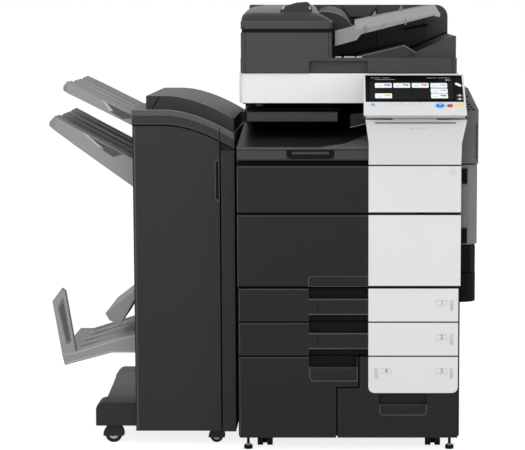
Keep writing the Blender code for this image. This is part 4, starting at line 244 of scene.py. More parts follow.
def as_piece(name, builder):
    bmesh.ops.recalc_face_normals(builder, faces=builder.faces)
    mesh = bpy.data.meshes.new(name)
    builder.to_mesh(mesh)
    builder.free()
    piece = bpy.data.objects.new(name, mesh)
    piece.location = ORIGIN
    bpy.context.scene.collection.objects.link(piece)
    return piece


def loft(name, loops, open_start=False, closed=False):
    """A skin through loops of as many points each. A closed one joins its last loop to its first."""
    builder = bmesh.new()
    rings = [[builder.verts.new(point) for point in loop] for loop in loops]
    if not (open_start or closed):
        builder.faces.new(rings[0])
    if not closed:
        builder.faces.new(rings[-1])
    for ring, after in zip(rings, rings[1:] + (rings[:1] if closed else [])):
        for i in range(len(ring)):
            j = (i + 1) % len(ring)
            builder.faces.new((ring[i], ring[j], after[j], after[i]))
    return as_piece(name, builder)


def push(name, outline, axis, start, end):
    """An outline pushed along an axis: (y, z) points for X, (x, z) for Y and (x, y) for Z."""
    places = {
        "X": lambda u, v, w: (w, u, v),
        "Y": lambda u, v, w: (u, w, v),
        "Z": lambda u, v, w: (u, v, w),
    }
    return loft(name, [[places[axis](u, v, w) for u, v in outline] for w in (start, end)])


def oblong(x, y):
    return [(x[0], y[0]), (x[1], y[0]), (x[1], y[1]), (x[0], y[1])]


def soft_oblong(x, y, radius, steps):
    """An oblong with all its corners rounded alike."""
    return rounded(oblong(x, y), [radius] * 4, steps)


def rounded(corners, radii, steps):
    """The outline through the corners, each turned into an arc of its radius, or kept where that is 0."""
    outline = []
    for i, radius in enumerate(radii):
        corner = Vector(corners[i])
        before = (Vector(corners[i - 1]) - corner).normalized()
        after = (Vector(corners[(i + 1) % len(corners)]) - corner).normalized()
        half = math.acos(max(-1, min(1, before.dot(after)))) / 2
        if not radius:
            outline.append(tuple(corner))
            continue
        centre = corner + (before + after).normalized() * radius / math.sin(half)
        first = corner + before * radius / math.tan(half) - centre
        sweep = math.copysign(math.pi - 2 * half, after.x * before.y - after.y * before.x)
        for step in range(steps + 1):
            spoke = first.copy()
            spoke.rotate(Matrix.Rotation(sweep * step / steps, 2))
            outline.append(tuple(centre + spoke))
    return outline


def oval(centre, radii, sides=32):
    turns = [2 * math.pi * i / sides for i in range(sides)]
    return [(centre[0] + radii[0] * math.cos(t), centre[1] + radii[1] * math.sin(t)) for t in turns]


def bevelled(piece, width, segments=2, angle=35):
    bevel = piece.modifiers.new("rounded_edges", "BEVEL")
    bevel.width = width
    bevel.segments = segments
    bevel.limit_method = "ANGLE"
    bevel.angle_limit = math.radians(angle)
    bevel.harden_normals = True
    return piece


def smooth(piece, angle=40):
    piece.data.shade_smooth()
    piece.data.set_sharp_from_angle(angle=math.radians(angle))
    return piece


def paint(piece, finish):
    piece.data.materials.clear()
    piece.data.materials.append(FINISHES[finish])
    return piece


def fit(piece, body, finish):
    """Finishes a piece and lets it move with a body."""
    smooth(piece)
    paint(piece, finish)
    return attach(piece, body)


def soften(node, width, finish):
    """Rounds the sharp edges of a carried-over node and gives it its finish."""
    piece = nodes[node]
    clean = piece.modifiers.new("merge_flat_faces", "DECIMATE")
    clean.decimate_type = "DISSOLVE"
    clean.angle_limit = math.radians(1.0)
    bevelled(piece, width)
    return paint(piece, finish)


def block(name, x, y, z, body, finish="black", width=0.0003, segments=2):
    return fit(bevelled(push(name, oblong(x, y), "Z", *z), width, segments), body, finish)


def fit_plate(name, outline, y, body, finish="black", *rounding):
    """An (x, z) outline as thick as its reach along Y, its edges bevelled if their rounding is given."""
    piece = push(name, outline, "Y", *y)
    if rounding:
        bevelled(piece, *rounding)
    return fit(piece, body, finish)


def frame_ring(name, outer, inner, depth, body, finish):
    """A flat frame between two (x, z) outlines with as many points each."""
    edges = ((outer, depth[1]), (outer, depth[0]), (inner, depth[0]), (inner, depth[1]))
    loops = [[(x, y, z) for x, z in outline] for outline, y in edges]
    return fit(loft(name, loops, closed=True), body, finish)


# Document feeder


def cover_loop(z, left, front, right, radius):
    """The feeder cover's plan at one height, drawn in from its sides."""
    x = span("adf_top_cover", "X")
    y = span("adf_top_cover", "Y")
    right_edge = span("adf_feed_unit", "X")[0] + FEED_WIDTH
    corners = oblong((x[0] + left, right_edge - right), (y[0] + front, y[1]))
    return [(*point, z) for point in rounded(corners, [radius, radius, 0.001, 0.001], 6)]


# Rise above the lower edge, insets from the left, the front and the right, and corner radius
COVER_LEVELS = (
    (0.0085, 0.0, 0.0, 0.0, 0.016),
    (0.0100, -0.0008, -0.0008, -0.0008, 0.018),
    (0.0285, -0.0008, -0.0008, -0.0008, 0.018),
    (0.0300, 0.0004, 0.0012, 0.0004, 0.018),
    (0.0390, 0.0015, 0.0100, 0.0140, 0.020),
    (0.0460, 0.0040, 0.0200, 0.0270, 0.022),
    (0.0515, 0.0080, 0.0320, 0.0370, 0.026),
    (0.0530, 0.0090, 0.0360, 0.0390, 0.028),
    (0.0600, 0.0135, 0.0800, 0.0460, 0.032),
    (0.0670, 0.0200, 0.1400, 0.0520, 0.036),
    (0.0713, 0.0360, 0.2000, 0.0560, 0.040),
    (0.0755, 0.0600, 0.3000, 0.0600, 0.044),
)


def cover_finish(rise):
    """Which of the cover's finishes a face has at a height above its lower edge. The band keeps its charcoal;
    the step gets a painted highlight, the front bevel painted shade and the top painted light.
    """
    if 0.0285 < rise < 0.03:
        return 1
    if 0.03 < rise < 0.0516:
        return 2
    return 3 if rise > 0.0528 else 0


def make_feeder_cover():
    low = span("adf_top_cover", "Z")[0] + 0.001
    loops = [cover_loop(low + rise, *insets) for rise, *insets in COVER_LEVELS]
    cover = loft("feeder_cover", loops, open_start=True)
    shell = cover.modifiers.new("shell", "SOLIDIFY")
    shell.thickness = 0.003
    shell.offset = -1
    fit(cover, "adf_cover", "charcoal")
    # By their height, faces get a painted highlight on the step, painted shade on the front bevel and painted
    # light on the top.
    for finish in ("feeder_highlight_line", "feeder_bevel", "feeder_top"):
        cover.data.materials.append(FINISHES[finish])
    for face in cover.data.polygons:
        face.material_index = cover_finish(face.center.z - low)
    smooth(cover, 22)
    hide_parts("adf_top_cover")
    x = span("adf_top_cover", "X")[0]
    y = span("adf_top_cover", "Y")
    gap_x = (x + 0.003, x + FEED_WIDTH - 0.003)
    block("feeder_cover_gap", gap_x, (y[0] + 0.0025, y[0] + 0.012), (low - 0.001, low + 0.011), "adf_cover")
    for i, start in enumerate((y[0] + 0.054, y[1] - 0.076)):
        for j, edge in enumerate((start, start + 0.017)):
            sides = oblong((x + 0.0015, x + 0.0075), (edge, edge + 0.005))
            web = push(f"feeder_cover_knuckle_{i + 1}_{j + 1}", sides, "Z", low - 0.002, low + 0.012)
            fit(bevelled(web, 0.0008), "adf_cover", "charcoal")


def make_release_lever():
    """The hump that opens the feeder's cover, with pale end caps painted as highlights on its glossy ends."""
    top = span("adf_top_cover", "Z")[1]
    y = span("adf_top_cover", "Y")[0] + 0.052
    outline = [(-0.199, top - 0.038), (-0.193, top - 0.024), (-0.18, top - 0.012), (-0.146, top - 0.002)]
    outline += [(-0.12, top), (-0.112, top - 0.002), (-0.102, top - 0.02), (-0.103, top - 0.038)]
    fit_plate("cover_release_lever", outline, (y, y + 0.06), "adf_cover", "feeder_bevel", 0.006, 4, 20)
    # The end caps are pale plates painted as highlights on the hump's glossy ends.
    for side, x, width, turn in (("left", -0.188, 0.006, 0.004), ("right", -0.1105, 0.0045, -0.0025)):
        low = top - 0.0215
        end = [(x, low), (x + width, low), (x + width + turn, low + 0.0085), (x + turn, low + 0.0085)]
        fit_plate(f"release_lever_{side}_cap", end, (y - 0.0006, y + 0.006), "adf_cover", "bright", 0.0012, 3)


def arch(centre, radii, turns):
    first, last = turns
    angles = [math.radians(first + (last - first) * i / 10) for i in range(11)]
    return [(centre[0] + radii[0] * math.cos(a), centre[1] + radii[1] * math.sin(a)) for a in angles]


def hood_arc(centre, radii, shrink, turns=(0, 150)):
    """A strip of the hood's arc, as thick as the shrinkage."""
    outer = arch(centre, radii, turns)
    return outer + arch(centre, (radii[0] - shrink, radii[1] - shrink), turns[::-1])


def make_pick_up_hood():
    """The curved hood over the pick-up rollers: a front cheek, a darker rear arch, ribs and a rim coloured as
    a painted highlight.
    """
    front = ((-0.068, 1.16), (0.08, 0.056))
    rear = ((-0.056, 1.16), (0.066, 0.072))
    y = (0.236, 0.478)
    cheek = [(-0.046, 1.156)] + arch(*front, (0, 120))
    fit_plate("pick_up_hood_front_cheek", cheek, (y[0], y[0] + 0.003), "adf_cover", "feeder_bevel", 0.0006)
    # The rim is a painted highlight along the hood's arc.
    rim = hood_arc(*front, 0.0018, (2, 120))
    fit_plate("pick_up_hood_rim", rim, (y[0] - 0.0006, y[0] + 0.004), "adf_cover", "rim", 0.0005)
    cheek = [(-0.046, 1.156)] + arch(*rear, (0, 120))
    fit_plate("pick_up_hood_rear_cheek", cheek, (y[1] - 0.008, y[1]), "adf_cover", "black", 0.001)
    loops = []
    for (centre, radii), place in ((front, y[0] + 0.003), (rear, y[1] - 0.008)):
        outline = hood_arc(centre, (radii[0] - 0.001, radii[1] - 0.001), 0.003)
        loops.append([(u, place, w) for u, w in outline])
    fit(loft("pick_up_hood_skin", loops), "adf_cover", "feeder_bevel")
    for i, place in enumerate((0.3, 0.357, 0.414)):
        share = (place - y[0]) / (y[1] - y[0])
        centre = (front[0][0] + share * 0.012, 1.16)
        radii = (front[1][0] - share * 0.014 + 0.0002, front[1][1] + share * 0.016 + 0.0002)
        rib = hood_arc(centre, radii, 0.003, (12, 120))
        fit_plate(f"pick_up_hood_rib_{i + 1}", rib, (place, place + 0.002), "adf_cover", "charcoal")


def tray_top(x):
    """Height of the document tray's surface at a place along it."""
    return span("adf_base", "Z")[0] + 0.1288 + (x - 0.017) * 0.2


def on_tray(x, rises):
    """The outline of a strip along the document tray, between two rises above its surface."""
    low, high = rises
    return [(u, tray_top(u) + rise) for u, rise in ((x[0], low), (x[1], low), (x[1], high), (x[0], high))]


def make_document_tray_details():
    y = span("adf_document_tray", "Y")
    for side, place in (("front", y[0]), ("rear", y[1] - 0.0035)):
        rim = [(0.017, tray_top(0.017) - 0.012), (0.248, tray_top(0.248) - 0.012), (0.255, 1.2075)]
        rim += [(0.24, 1.2352), (0.234, 1.235), (0.017, 1.1912)]
        fit_plate(
            f"document_tray_{side}_rim", rim, (place - 0.0002, place + 0.0037), "adf_tray", "tray_pale",
            0.001,
        )
    end = [(0.248, tray_top(0.248) - 0.004), (0.255, 1.2075), (0.24, 1.235), (0.235, 1.235)]
    fit_plate("document_tray_end_stop", end, (y[0] + 0.003, y[1] - 0.003), "adf_tray", "tray_pale", 0.0008)
    for i, (start, end) in enumerate(((0.04, 0.052), (0.096, 0.099), (0.156, 0.16))):
        lower = tray_top(start) - 0.024
        rib = [(start, lower - 0.001), (end, lower + (end - start) * 0.25 - 0.001)]
        rib += [(end, tray_top(end) - 0.006), (start, tray_top(start) - 0.006)]
        fit_plate(
            f"tray_skirt_rib_{i + 1}", rib, (y[0] - 0.0008, y[0] + 0.003), "adf_tray", "tray_rib", 0.0005
        )
    drops = ((0.24, -0.018), (0.2545, -0.0225), (0.256, -0.019), (0.244, 0.0004), (0.237, 0.0004))
    end_cap = [(x, tray_top(x) + drop) for x, drop in drops]
    fit_plate("tray_end_cap", end_cap, (y[0] - 0.0006, y[1] + 0.0006), "adf_tray", "tray_pale", 0.0012, 3)
    for i in range(7):
        place = y[0] + 0.052 + i * (y[1] - y[0] - 0.104) / 6
        rib = on_tray((0.05, 0.23), (-0.001, 0.0008))
        fit_plate(f"tray_top_rib_{i + 1}", rib, (place, place + 0.0016), "adf_tray", "tray_pale")
    for name, reach in (("adf_guide_front", -1), ("adf_guide_rear", 1)):
        place = span(name, "Y")[0] + 0.002
        foot = on_tray((0.064, 0.164), (0.0009, 0.003))
        sides = sorted((place, place - reach * 0.034))
        fit_plate(f"{name}_foot", foot, sides, name.replace("adf_", ""), "tray_pale", 0.0008)
        tips = ((0.072, 0.0175), (0.147, 0.019)) if reach < 0 else ()
        for j, (x, height) in enumerate(tips):
            low = tray_top(x) + 0.015
            tip = [(x - 0.008, low), (x + 0.009, low), (x + 0.002, low + height)]
            fit_plate(
                f"{name}_tip_{j + 1}", tip, (place - 0.001, place + 0.002), "guide_front", "tray_rib", 0.0006
            )


def make_feeder_base_details():
    base = span("adf_base", "Z")[0]
    ledge = base + 0.041
    wall_y = 0.609
    for i, (x0, x1) in enumerate(((-0.038, -0.021), (-0.014, 0.017), (0.021, 0.051))):
        block(
            f"exit_flap_{i + 1}", (x0, x1), (0.148, 0.156), (ledge - 0.001, ledge + 0.003), "adf", "light",
            0.0008,
        )
    corners = (
        (0.004, 0.15), (0.06, 0.15), (0.084, 0.18), (0.084, 0.186), (-0.014, 0.186), (-0.014, 0.176)
    )
    outline = [(x, base + rise) for x, rise in corners]
    fit_plate("rear_wall_housing", outline, (wall_y - 0.022, wall_y + 0.004), "adf", "charcoal", 0.004, 3)
    for i, x in enumerate((0.084, 0.228)):
        block(
            f"rear_wall_groove_{i + 1}", (x, x + 0.0016), (wall_y - 0.0007, wall_y + 0.002),
            (base + 0.048, base + 0.176), "adf",
        )
    rail = [(0.17, base + 0.112), (0.24, base + 0.126), (0.24, base + 0.131), (0.17, base + 0.119)]
    fit_plate("rear_wall_rail", rail, (wall_y - 0.02, wall_y), "adf", "black", 0.001)
    gap = [(0.115, 1.0925), (0.195, 1.1125), (0.298, 1.156), (0.298, 1.1), (0.12, 1.089)]
    fit_plate("rear_wall_shade", gap, (wall_y - 0.026, wall_y - 0.023), "adf")
    low = ledge + 0.0005
    # The ramp's facet is coloured as painted shade and its ridge as a painted highlight line.
    facet = [(0.036, low), (0.038, 1.094), (0.1525, 1.1212), (0.1785, 1.1078), (0.16, low)]
    fit_plate("exit_ramp_facet", facet, (0.1046, 0.107), "adf", "feeder_bevel")
    ridge = [(0.038, 1.0938), (0.1525, 1.1206), (0.185, 1.1035)]
    ridge += [(0.185, 1.1048), (0.1525, 1.122), (0.038, 1.0951)]
    fit_plate("exit_ramp_edge", ridge, (0.1044, 0.107), "adf", "rim")
    for side, x in (("left", span("adf_base", "X")[0]), ("right", span("adf_base", "X")[1])):
        inward = 0.0125 if side == "left" else -0.0135
        block(
            f"feeder_{side}_seam", (x + inward, x + inward + 0.0012), FEEDER_FACE,
            (base + 0.001, ledge - 0.001), "adf",
        )
    feed = span("adf_feed_unit", "Z")
    left = span("adf_feed_unit", "X")[0]
    for i, x in enumerate((left + 0.012, left + FEED_WIDTH - 0.0105)):
        block(
            f"feed_front_seam_{i + 1}", (x, x + 0.0012), FEEDER_FACE, (feed[0] + 0.001, feed[0] + 0.068),
            "adf",
        )
    gap = oblong((left + 0.004, left + FEED_WIDTH - 0.004), (0.109, 0.6))
    fit(push("feed_gap_shade", gap, "Z", feed[0] + 0.066, feed[0] + 0.072), "adf", "black")


# Scanner


def make_scanner_details():
    top = span("adf_base", "Z")[0] - 0.002
    block("scanner_lid_seam", (0.0915, 0.093), (0.1094, 0.1115), (top - 0.008, top - 0.0006), "machine")
    block(
        "platen_left_strip", (-0.292, -0.252), (0.2, 0.53), (top - 0.0006, top + 0.0004), "machine",
        "gloss",
    )


# Panel

PANEL_ANGLE = math.radians(30)
PANEL_LENGTH = 0.205


def on_panel(x, along, lift=0.0):
    """A place on the panel's face: across, up its slope from the front edge, and off its face."""
    front = span("panel_body", "Y")[0]
    low = span("panel_body", "Z")[1] - PANEL_LENGTH * math.sin(PANEL_ANGLE)
    y = front + along * math.cos(PANEL_ANGLE) - lift * math.sin(PANEL_ANGLE)
    return (x, y, low + along * math.sin(PANEL_ANGLE) + lift * math.cos(PANEL_ANGLE))


def panel_plate(name, outline, low, high, finish, body="panel", width=0.0):
    """A thin plate lying on the panel, with an (across, along) outline."""
    plate = loft(name, [[on_panel(x, along, lift) for x, along in outline] for lift in (low, high)])
    if width:
        bevelled(plate, width)
    return fit(plate, body, finish)


def panel_ring(name, centre, radii, width, low, high, finish):
    """A flat ring lying on the panel."""
    outer = oval(centre, radii)
    inner = oval(centre, (radii[0] - width, radii[1] - width))
    edges = ((outer, low), (outer, high), (inner, high), (inner, low))
    loops = [[on_panel(*point, lift) for point in outline] for outline, lift in edges]
    return fit(loft(name, loops, closed=True), "panel", finish)


def make_screen():
    """The lit display: status lines, function tiles with their marks, and the bezel's keys."""
    glass = 0.00035
    display = soft_oblong((0.056, 0.286), (0.0735, 0.1895), 0.001, 2)
    panel_plate("screen_display", display, -0.0004, glass, "display")
    panel_plate(
        "screen_field", oblong((0.0575, 0.2845), (0.076, 0.166)), 0, glass + 0.0001, "display_field"
    )
    tile, row, gap = 0.046, 0.0238, 0.0507
    places = [(0.0714 + gap * i, 0.1586) for i in range(3)]
    places += [(0.2238, top) for top in (0.1586, 0.1312, 0.1054)]
    places.append((0.0714, 0.1058))
    marks = ("mark_blue", "mark_teal", "mark_orange", "mark_pale", "mark_pale", "mark_slate", "mark_yellow")
    for i, ((x, top), mark) in enumerate(zip(places, marks)):
        outline = soft_oblong((x, x + tile), (top - row, top), 0.003, 3)
        panel_plate(f"screen_tile_{i + 1}", outline, 0, glass + 0.0003, "display_white")
        for j, (dx, size) in enumerate(((0.0295, 0.0042), (0.0375, 0.005))):
            spot = oval((x + dx, top - 0.0095 - 0.001 * j), (size, size * 0.9), 16)
            panel_plate(f"screen_mark_{i + 1}_{j + 1}", spot, glass, glass + 0.0006, mark)
        for j, (width, drop) in enumerate(((0.016, 0.0125), (0.011, 0.0165))):
            line = oblong((x + 0.005, x + 0.005 + width), (top - drop - 0.0012, top - drop))
            panel_plate(f"screen_tile_line_{i + 1}_{j + 1}", line, glass, glass + 0.0005, "mark_faint")
    lines = [(x, 0.184) for x in ((0.06, 0.086), (0.092, 0.112), (0.215, 0.242), (0.246, 0.278))]
    lines.insert(2, ((0.072, 0.127), 0.1755))
    for i, (x, along) in enumerate(lines):
        line = oblong(x, (along, along + 0.0022))
        panel_plate(f"screen_status_{i + 1}", line, glass, glass + 0.0004, "mark_dim")
    for i, (x, colour) in enumerate(((0.268, "mark_pale"), (0.2735, "mark_pink"), (0.279, "mark_blue"))):
        panel_plate(
            f"screen_toner_{i + 1}", oval((x, 0.174), (0.0022, 0.003), 12), glass, glass + 0.0005, colour
        )
    hand = [(0.2905, 0.153), (0.301, 0.143), (0.3085, 0.14)]
    hand += [(0.309, 0.147), (0.302, 0.156), (0.2935, 0.161)]
    panel_plate("bezel_touch_mark", rounded(hand, [0.0025] * 6, 3), glass, glass + 0.0004, "display_white")
    for i, along in enumerate((0.096, 0.078)):
        ring = (0.3015, along)
        panel_ring(
            f"bezel_key_{i + 1}", ring, (0.0085, 0.0058), 0.0008, glass - 0.0004, glass + 0.0004, "mark_dim"
        )
        panel_plate(
            f"bezel_key_mark_{i + 1}", oval(ring, (0.0034, 0.003), 12), glass - 0.0004, glass + 0.0004,
            "display_white",
        )


def make_panel_keys():
    """Rings, faces and marks of the keys below the screen."""
    start = (0.2463, 0.045)
    low = -0.0002
    panel_ring("start_key_ring", start, (0.015, 0.015), 0.0034, low, 0.0011, "start_glow")
    panel_plate(
        "start_key_face", oval((start[0], start[1] + 0.001), (0.0086, 0.0056), 28), 0.0012, 0.0019,
        "start_blue", "start_key",
    )
    panel_plate(
        "start_key_mark", oval((start[0], start[1] + 0.0015), (0.0026, 0.0018), 16), 0.0018, 0.0021,
        "display_white", "start_key",
    )
    stop = (0.2733, 0.045)
    panel_ring("stop_key_ring", stop, (0.008, 0.0075), 0.0016, low, 0.0009, "stop_red")
    panel_plate("stop_key_mark", oval(stop, (0.003, 0.002), 16), 0.0012, 0.0019, "mark_pink", "stop_key")
    reset_outline = soft_oblong((0.288, 0.3065), (0.044, 0.054), 0.002, 3)
    panel_plate("reset_key", reset_outline, -0.0005, 0.001, "reset_yellow", "panel", 0.0004)
    panel_ring("power_key_ring", (0.065, 0.049), (0.0066, 0.0072), 0.0009, low, 0.0004, "mark_slate")
    panel_plate("power_key_mark", oval((0.065, 0.051), (0.0032, 0.003), 16), low, 0.0006, "mark_blue")
    for i in range(4):
        centre = (0.1145 + 0.0262 * i, 0.05)
        panel_ring(f"soft_key_{i + 1}", centre, (0.0078, 0.006), 0.0006, low, 0.0003, "mark_faint")
        panel_plate(
            f"soft_key_mark_{i + 1}", oval((centre[0], 0.0605), (0.0016, 0.0012), 12), low, 0.0004,
            "mark_slate",
        )
        panel_plate(
            f"soft_key_dot_{i + 1}", oval((centre[0] + 0.0115, 0.0505), (0.0014, 0.002), 12), low, 0.0004,
            "mark_faint",
        )


SUPPORT_LEAN = 0.125


def make_panel_support_details():
    y = span("panel_support", "Y")[0]
    top = span("panel_support", "Z")[1]

    def face(z):
        """Depth of the support's leaning front at a height."""
        return y * (z - top + SUPPORT_LEAN) / SUPPORT_LEAN

    def inlay(name, outline, depths, finish):
        """A thin plate that follows the leaning front."""
        loops = [[(x, min(0, face(z)) + depth, z) for x, z in outline] for depth in depths]
        fit(loft(name, loops), "machine", finish)

    slot = soft_oblong((0.0705, 0.29), (0.9145, 0.918), 0.0016, 3)
    inlay("support_slot", slot, (-0.0004, 0.003), "slot_grey")
    for i, x in enumerate((0.1683, 0.1764, 0.1846, 0.1932, 0.2049)):
        size = 0.0013 if i < 4 else 0.0018
        spot = oval((x, 0.9), (size, size), 14)
        inlay(f"support_lamp_{i + 1}", spot, (-0.0005, 0.002), "mark_faint" if i == 4 else "slot_grey")
    stickers = (((0.279, 0.2975), (0.835, 0.848)), ((0.2785, 0.298), (0.8085, 0.829)))
    for i, (x, z) in enumerate(stickers):
        plate = soft_oblong(x, z, 0.0015, 2)
        inlay(f"bare_sticker_{i + 1}", plate, (-0.0004, 0.001), "sticker")
    body = span("panel_body", "X")
    z = span("panel_body", "Z")[0]
    front = span("panel_body", "Y")[0]
    left, right = body[0], body[1]
    # Under the panel's front: a grey strip of painted shade, a painted highlight line at its foot and black
    # corners of painted shade.
    for part, x, out, rise, width, finish in (
        ("underside_strip", (left + 0.0005, right - 0.0005), 0.0006, (0.0002, 0.0066), 0.0003, "underside"),
        ("underside_line", (left + 0.0004, right - 0.0004), 0.0008, (0, 0.0022), 0.0002, "edge_highlight"),
        ("corner_left", (left + 0.0004, left + 0.0044), 0.001, (0, 0.0072), 0.0003, "black"),
        ("corner_right", (right - 0.0044, right - 0.0004), 0.001, (0, 0.0072), 0.0003, "black"),
    ):
        heights = (z + rise[0], z + rise[1])
        block(f"panel_{part}", x, (front - out, front + 0.004), heights, "panel", finish, width)


# Inner paper exit


def make_exit_bay():
    floor = span("exit_tray", "Z")[1]
    ceiling = span("scanner_housing", "Z")[0]
    left = -0.296
    # The bay's back and ceiling plates are black sheets of painted shade in its dark depth.
    for name, x, y, z, width, finish in (
        ("bay_back_plate", (left, 0.052), (0.474, 0.4795), (0.892, ceiling - 0.001), 0.0005, "black"),
        (
            "bay_ceiling_plate", (left, 0.052), (0.126, 0.478), (ceiling - 0.0035, ceiling - 0.0005), 0.0005,
            "black",
        ),
        ("relay_upper_deck", (-0.288, -0.022), (0.2, 0.476), (0.9375, 0.944), 0.001, "black"),
        ("relay_end_shade", (-0.2995, -0.2855), (0.129, 0.131), (0.9085, 0.9372), 0.0003, "black"),
        ("relay_lever", (-0.2675, -0.2475), (0.29, 0.31), (0.944, 0.952), 0.001, "slot_grey"),
    ):
        block(name, x, y, z, "machine", finish, width)
    for i in range(8):
        x = -0.1175 + i * 0.0085
        block(
            f"relay_rib_{i + 1}", (x, x + 0.003), (0.285, 0.3), (0.944, 0.9535), "machine", "charcoal",
            0.0004,
        )
    for i, (x0, x1) in enumerate(((-0.268, -0.258), (-0.058, -0.046))):
        block(f"relay_foot_{i + 1}", (x0, x1), (0.1285, 0.132), (0.9365, 0.9395), "machine", "black", 0.0004)
    hatch = [(0.004, 0.896), (0.052, 0.906), (0.052, 0.933), (0.002, 0.933)]
    fit_plate("exit_louvre_plate", hatch, (0.102, 0.106), "machine")
    for i in range(9):
        z = 0.9 + i * 0.0036
        louvre = [(0.005, z), (0.0515, z + 0.008), (0.0515, z + 0.0092), (0.005, z + 0.0012)]
        fit_plate(f"exit_louvre_{i + 1}", louvre, (0.1, 0.1025), "machine", "charcoal")
    edge = [(0.003, 0.8945), (0.052, 0.906), (0.052, 0.9078), (0.003, 0.8963)]
    fit_plate("exit_louvre_edge", edge, (0.098, 0.106), "machine", "slot_grey")
    lip = floor - 0.046
    # A thin pale sheet of painted light on the front corner of the shaded exit tray deck.
    wedge = [(-0.075, 0.001), (0.0535, 0.001), (0.0535, 0.226), (0.028, 0.15), (-0.01, 0.06)]
    slope = 0.046 / 0.4797
    loops = [[(x, y, lip + slope * y + lift) for x, y in wedge] for lift in (0.0001, 0.0012)]
    fit(loft("exit_tray_corner_plate", loops), "machine", "wedge")
    front = rounded(
        oblong((-0.3072, 0.0534), (lip - 0.0052, lip + 0.0004)), [0.0015, 0.0015, 0.002, 0.002], 3
    )
    fit_plate("exit_tray_front_lip", front, (-0.0012, 0.002), "machine", "exit_pale")
    low = span("exit_tray", "Z")[0]
    for i, (x0, x1) in enumerate(((-0.306, -0.1715), (-0.0395, 0.053))):
        strip = soft_oblong((x0, x1), (low + 0.003, lip - 0.0075), 0.0015, 3)
        fit_plate(f"exit_strip_{i + 1}", strip, (-0.0006, 0.002), "machine", "exit_strip")
    shadow = oblong((-0.3072, 0.0534), (lip - 0.0077, lip - 0.005))
    fit_plate("exit_lip_shadow", shadow, (-0.0003, 0.002), "machine")
    strip = oblong((-0.172, -0.039), (low + 0.003, low + 0.0048))
    fit_plate("exit_strip_foot", strip, (-0.0006, 0.002), "machine", "exit_strip")


def make_exit_pull():
    """The rounded finger pull at the front of the exit tray, with its rim."""
    strip = span("exit_tray", "Z")[0]
    x = (-0.167, -0.044)
    outer = rounded(
        oblong((x[0] - 0.004, x[1] + 0.004), (strip + 0.004, strip + 0.03)), [0.016, 0.016, 0.003, 0.003],
        6,
    )
    inner = rounded(
        oblong((x[0] + 0.002, x[1] - 0.002), (strip + 0.01, strip + 0.0245)), [0.01, 0.01, 0.002, 0.002],
        6,
    )
    frame_ring("exit_pull_rim", outer, inner, (-0.0008, 0.004), "machine", "black")
    inside = soft_oblong((x[0] + 0.01, x[1] - 0.01), (strip + 0.017, strip + 0.025), 0.001, 2)
    fit_plate("exit_pull_pad", inside, (0.006, 0.0125), "machine", "exit_pale")


# Fronts, doors and drawers


def seam(name, x, z, body, y=0.0):
    """A dark line let into a front."""
    block(name, x, (y - 0.0006, y + 0.004), z, body, "black", 0.0002, 1)


# Drawer number, the label's reach and foot, and the left edge and foot of the paper level slot
LABELS = (
    (1, (0.2404, 0.2721), 0.4087, 0.2801, 0.3954),
    (2, (0.2404, 0.2721), 0.3136, 0.2801, 0.3002),
    (3, (0.2404, 0.2721), 0.218, 0.2801, 0.2047),
    (4, (0.0872, 0.1176), 0.218, 0.072, 0.2047),
)


def level_slot(name, x, z, body):
    """The slot that shows how much paper is left, with its pale rim."""
    outer = soft_oblong((x, x + 0.0078), (z, z + 0.03), 0.003, 4)
    inner = soft_oblong((x + 0.0012, x + 0.0066), (z + 0.0012, z + 0.0288), 0.0022, 4)
    fit_plate(f"{name}_window", outer, (-0.0003, 0.002), body, "mark_pale")
    frame_ring(f"{name}_rim", outer, inner, (-0.0008, 0.001), body, "mark_faint")
    fill = soft_oblong((x + 0.002, x + 0.0058), (z + 0.002, z + 0.018), 0.0015, 3)
    fit_plate(f"{name}_level", fill, (-0.0007, 0.001), body, "mark_faint")


def make_labels():
    for number, x, z, slot_x, slot_z in LABELS:
        body = f"drawer_{min(number, 3)}"
        outer = soft_oblong(x, (z, z + 0.016), 0.003, 4)
        inner = soft_oblong((x[0] + 0.001, x[1] - 0.001), (z + 0.001, z + 0.015), 0.0024, 4)
        frame_ring(f"label_{number}_frame", outer, inner, (-0.0006, 0.001), body, "mark_faint")
        curve = bpy.data.curves.new(f"label_{number}_figure", "FONT")
        curve.body = str(number)
        curve.size = 0.017
        curve.extrude = 0.0004
        curve.align_x = "CENTER"
        figure = bpy.data.objects.new(f"label_{number}_figure", curve)
        figure.location = ORIGIN + Vector((x[0] + 0.0165, -0.0004, z + 0.003))
        figure.rotation_euler = (math.radians(90), 0, 0)
        bpy.context.scene.collection.objects.link(figure)
        curve.materials.append(FINISHES["slot_grey"])
        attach(figure, body)
        level_slot(f"paper_level_{number}", slot_x, slot_z, body)


def make_drawer_pulls():
    """The finger pulls above and below the middle of the two upper drawers' fronts."""
    for number in (1, 2):
        body = f"drawer_{number}"
        low, high = span(body, "Z")
        seam(f"{body}_inner_seam", (-0.087, -0.086), (low + 0.02, high - 0.029), body)
        for end, z in (("upper", (high - 0.029, high - 0.0005)), ("lower", (low + 0.0005, low + 0.019))):
            block(f"{body}_{end}_pull_floor", (-0.108, 0.05), (0.012, 0.015), z, body, "black", 0.0004)
        # Each pull's lips are coloured as painted highlights.
        for end, z in (("upper", (high - 0.032, high - 0.0285)), ("lower", (low + 0.0182, low + 0.0215))):
            lip = soft_oblong(PULL_X, z, 0.0016, 3)
            fit_plate(f"{body}_{end}_pull_lip", lip, (-0.0008, 0.003), body, "edge_highlight", 0.0005)


def padded_pull(name, outer, inner, rim_y, pad_y, body):
    """A pull's raised rim, coloured as a painted highlight, and the pad inside it."""
    frame_ring(f"{name}_pull_rim", outer, inner, rim_y, body, "edge_highlight")
    fit_plate(f"{name}_pull_pad", inner, pad_y, body, "dark")


